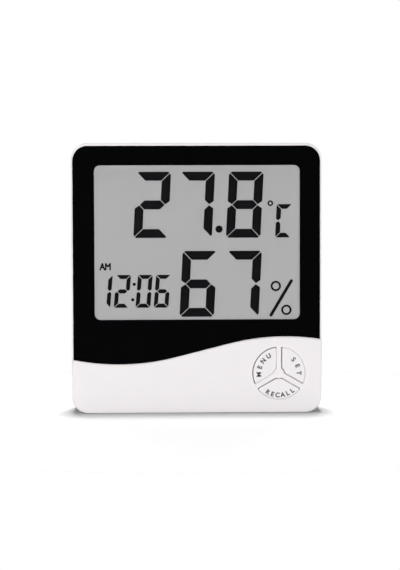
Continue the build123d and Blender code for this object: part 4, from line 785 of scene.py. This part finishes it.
class CLOCK_OT_set_stage(bpy.types.Operator):
    """Set the floor, the lamps, the world and the camera"""

    bl_idname = "clock.set_stage"
    bl_label = "Studio"

    def execute(self, context):
        stage = context.scene.clock_stage
        floor = self.lay_floor(stage)
        self.light_world(context, stage)
        lamps = (
            ("Key lamp", KEY_PLACE, FRONT_LAMP_SIZE, stage.key_power, None),
            ("Fill lamp", FILL_PLACE, FRONT_LAMP_SIZE, stage.fill_power, None),
            ("Top lamp", TOP_PLACE, TOP_LAMP_SIZE, stage.top_power, None),
            ("Floor lamp", FLOOR_LAMP_PLACE, FLOOR_LAMP_SIZE, stage.floor_power, floor),
            ("Rear left lamp", REAR_LEFT_PLACE, REAR_LAMP_SIZE, stage.back_power, None),
            ("Rear right lamp", REAR_RIGHT_PLACE, REAR_LAMP_SIZE, stage.back_power, None),
        )
        for lamp in lamps:
            self.hang_lamp(context, *lamp)
        self.set_camera(context, stage)
        context.scene.view_settings.view_transform = "Standard"
        context.scene.cycles.transparent_max_bounces = CLEAR_BOUNCES
        return {"FINISHED"}

    def hang_lamp(self, context, name, place, size, watts, receiver):
        """An area lamp that looks at the object; with a receiver it lights that alone."""
        lamp = bpy.data.lights.new(name, "AREA")
        lamp.shape = "RECTANGLE"
        lamp.size, lamp.size_y = size
        lamp.energy = watts
        holder = bpy.data.objects.new(name, lamp)
        holder.location = place
        holder.rotation_euler = (Vector(LAMP_AIM) - Vector(place)).to_track_quat("-Z", "Y").to_euler()
        context.collection.objects.link(holder)
        if receiver:
            lit = bpy.data.collections.new(f"Lit by the {name.lower()}")
            lit.objects.link(receiver)
            holder.light_linking.receiver_collection = lit

    def lay_floor(self, stage):
        """A pale floor just large enough for the shadow; the backdrop round it is as white."""
        shape = bmesh.new()
        bmesh.ops.create_circle(shape, cap_ends=True, segments=FLOOR_SIDES, radius=FLOOR_RADIUS)
        mesh = bpy.data.meshes.new("floor")
        shape.to_mesh(mesh)
        shape.free()
        floor = bpy.data.objects.new("floor", mesh)
        bpy.context.collection.objects.link(floor)
        # Grey paper, pressed and uncoated: matt, so it keeps the shadow, and lit up to white by its own lamp
        material, tree, output = new_material("Pressed grey paper")
        paths = add_node(tree, "ShaderNodeLightPath").outputs
        mirrored = larger(tree, paths["Is Glossy Ray"], paths["Is Transmission Ray"])
        seen = larger(tree, paths["Is Camera Ray"], mirrored)
        lift = add_node(tree, "ShaderNodeMath", {1: stage.floor_lift}, {0: seen}, operation="MULTIPLY")
        bounced = [channel * stage.floor_bounce for channel in stage.floor_colour]
        tone = two_tone(tree, bounced, stage.floor_colour, seen)
        place = add_node(tree, "ShaderNodeTexCoord").outputs["Object"]
        fibre = noise(tree, place, PAPER_FIBRE_SIZE, 4.0).outputs["Fac"]
        nap = {"Strength": 0.2, "Distance": PAPER_FIBRE_RELIEF}
        relief = add_node(tree, "ShaderNodeBump", nap, {"Height": fibre})
        paper = add_node(
            tree,
            "ShaderNodeBsdfPrincipled",
            {"Roughness": 0.9, "Emission Color": (1, 1, 1, 1)},
            {
                "Base Color": tone,
                "Emission Strength": lift.outputs["Value"],
                "Normal": relief.outputs["Normal"],
            },
        )
        tree.links.new(paper.outputs["BSDF"], output.inputs["Surface"])
        mesh.materials.append(material)
        return floor

    def light_world(self, context, stage):
        """White backdrop behind the object, dark room behind the camera, even light on matt surfaces."""
        world = bpy.data.worlds.new("Studio")
        world.use_nodes = True
        tree = world.node_tree
        tree.nodes.clear()
        paths = add_node(tree, "ShaderNodeLightPath").outputs
        around = add_node(tree, "ShaderNodeTexCoord").outputs["Generated"]
        way = add_node(tree, "ShaderNodeSeparateXYZ", None, {0: around})
        behind = add_node(
            tree,
            "ShaderNodeMapRange",
            {"From Min": 0.0, "From Max": BACKDROP_REAR_SHARE},
            {"Value": way.outputs["Y"]},
        )
        mirrored = larger(tree, paths["Is Glossy Ray"], paths["Is Transmission Ray"])
        strength = add_node(
            tree,
            "ShaderNodeMix",
            {"A": stage.ambient},
            {"Factor": mirrored, "B": behind.outputs["Result"]},
        )
        seen = add_node(
            tree,
            "ShaderNodeMix",
            {"B": 1.0},
            {"Factor": paths["Is Camera Ray"], "A": strength.outputs["Result"]},
        )
        backdrop = add_node(
            tree, "ShaderNodeBackground", {"Color": (1, 1, 1, 1)}, {"Strength": seen.outputs["Result"]}
        )
        output = add_node(tree, "ShaderNodeOutputWorld", None, {"Surface": backdrop.outputs["Background"]})
        output.is_active_output = True
        context.scene.world = world

    def set_camera(self, context, stage):
        """A long lens near the front, a little above and to the left."""
        lens = bpy.data.cameras.new("Camera")
        lens.sensor_fit = "HORIZONTAL"
        lens.lens = lens.sensor_width * stage.distance / stage.frame_width
        lens.clip_start = CAMERA_CLIP_START
        camera = bpy.data.objects.new("Camera", lens)
        aim = Vector((stage.aim_x, CAD_BOX[0][1], stage.aim_z))
        flat = cos(stage.elevation)
        way = Vector((-sin(stage.yaw) * flat, -cos(stage.yaw) * flat, sin(stage.elevation)))
        camera.location = aim + way * stage.distance
        turn = (-way).to_track_quat("-Z", "Y").to_matrix() @ Matrix.Rotation(-stage.roll, 3, "Z")
        camera.rotation_euler = turn.to_euler()
        context.collection.objects.link(camera)
        context.scene.camera = camera


class CLOCK_PT_tools(bpy.types.Panel):
    """Finishes, lettering and studio of the clock"""

    bl_idname = "CLOCK_PT_tools"
    bl_label = "Clock"
    bl_space_type = "VIEW_3D"
    bl_region_type = "UI"
    bl_category = "Clock"

    def draw(self, context):
        for group in (context.scene.clock_finish, context.scene.clock_lettering, context.scene.clock_stage):
            box = self.layout.box()
            for name in group.__annotations__:
                box.prop(group, name)
        for operator in OPERATORS:
            self.layout.operator(operator.bl_idname)


GROUPS = (
    ("clock_finish", ClockFinish),
    ("clock_lettering", ClockLettering),
    ("clock_stage", ClockStage),
)
OPERATORS = (
    CLOCK_OT_dress_shells,
    CLOCK_OT_dress_buttons,
    CLOCK_OT_letter_buttons,
    CLOCK_OT_mark_back,
    CLOCK_OT_dress_panel,
    CLOCK_OT_dress_cell,
    CLOCK_OT_dress_board,
    CLOCK_OT_dress_power,
    CLOCK_OT_dress_screws,
    CLOCK_OT_set_stage,
)


def register():
    """Registers the classes and puts the settings on the scene."""
    for name, group in GROUPS:
        bpy.utils.register_class(group)
        setattr(bpy.types.Scene, name, PointerProperty(type=group))
    for operator in OPERATORS:
        bpy.utils.register_class(operator)
    bpy.utils.register_class(CLOCK_PT_tools)


def unregister():
    """Takes all of it off again."""
    bpy.utils.unregister_class(CLOCK_PT_tools)
    for operator in reversed(OPERATORS):
        bpy.utils.unregister_class(operator)
    for name, group in reversed(GROUPS):
        delattr(bpy.types.Scene, name)
        bpy.utils.unregister_class(group)


def main():
    """Makes every piece in order."""
    register()
    for operator in OPERATORS:
        group, name = operator.bl_idname.split(".")
        getattr(getattr(bpy.ops, group), name)()


if __name__ == "__main__":
    main()
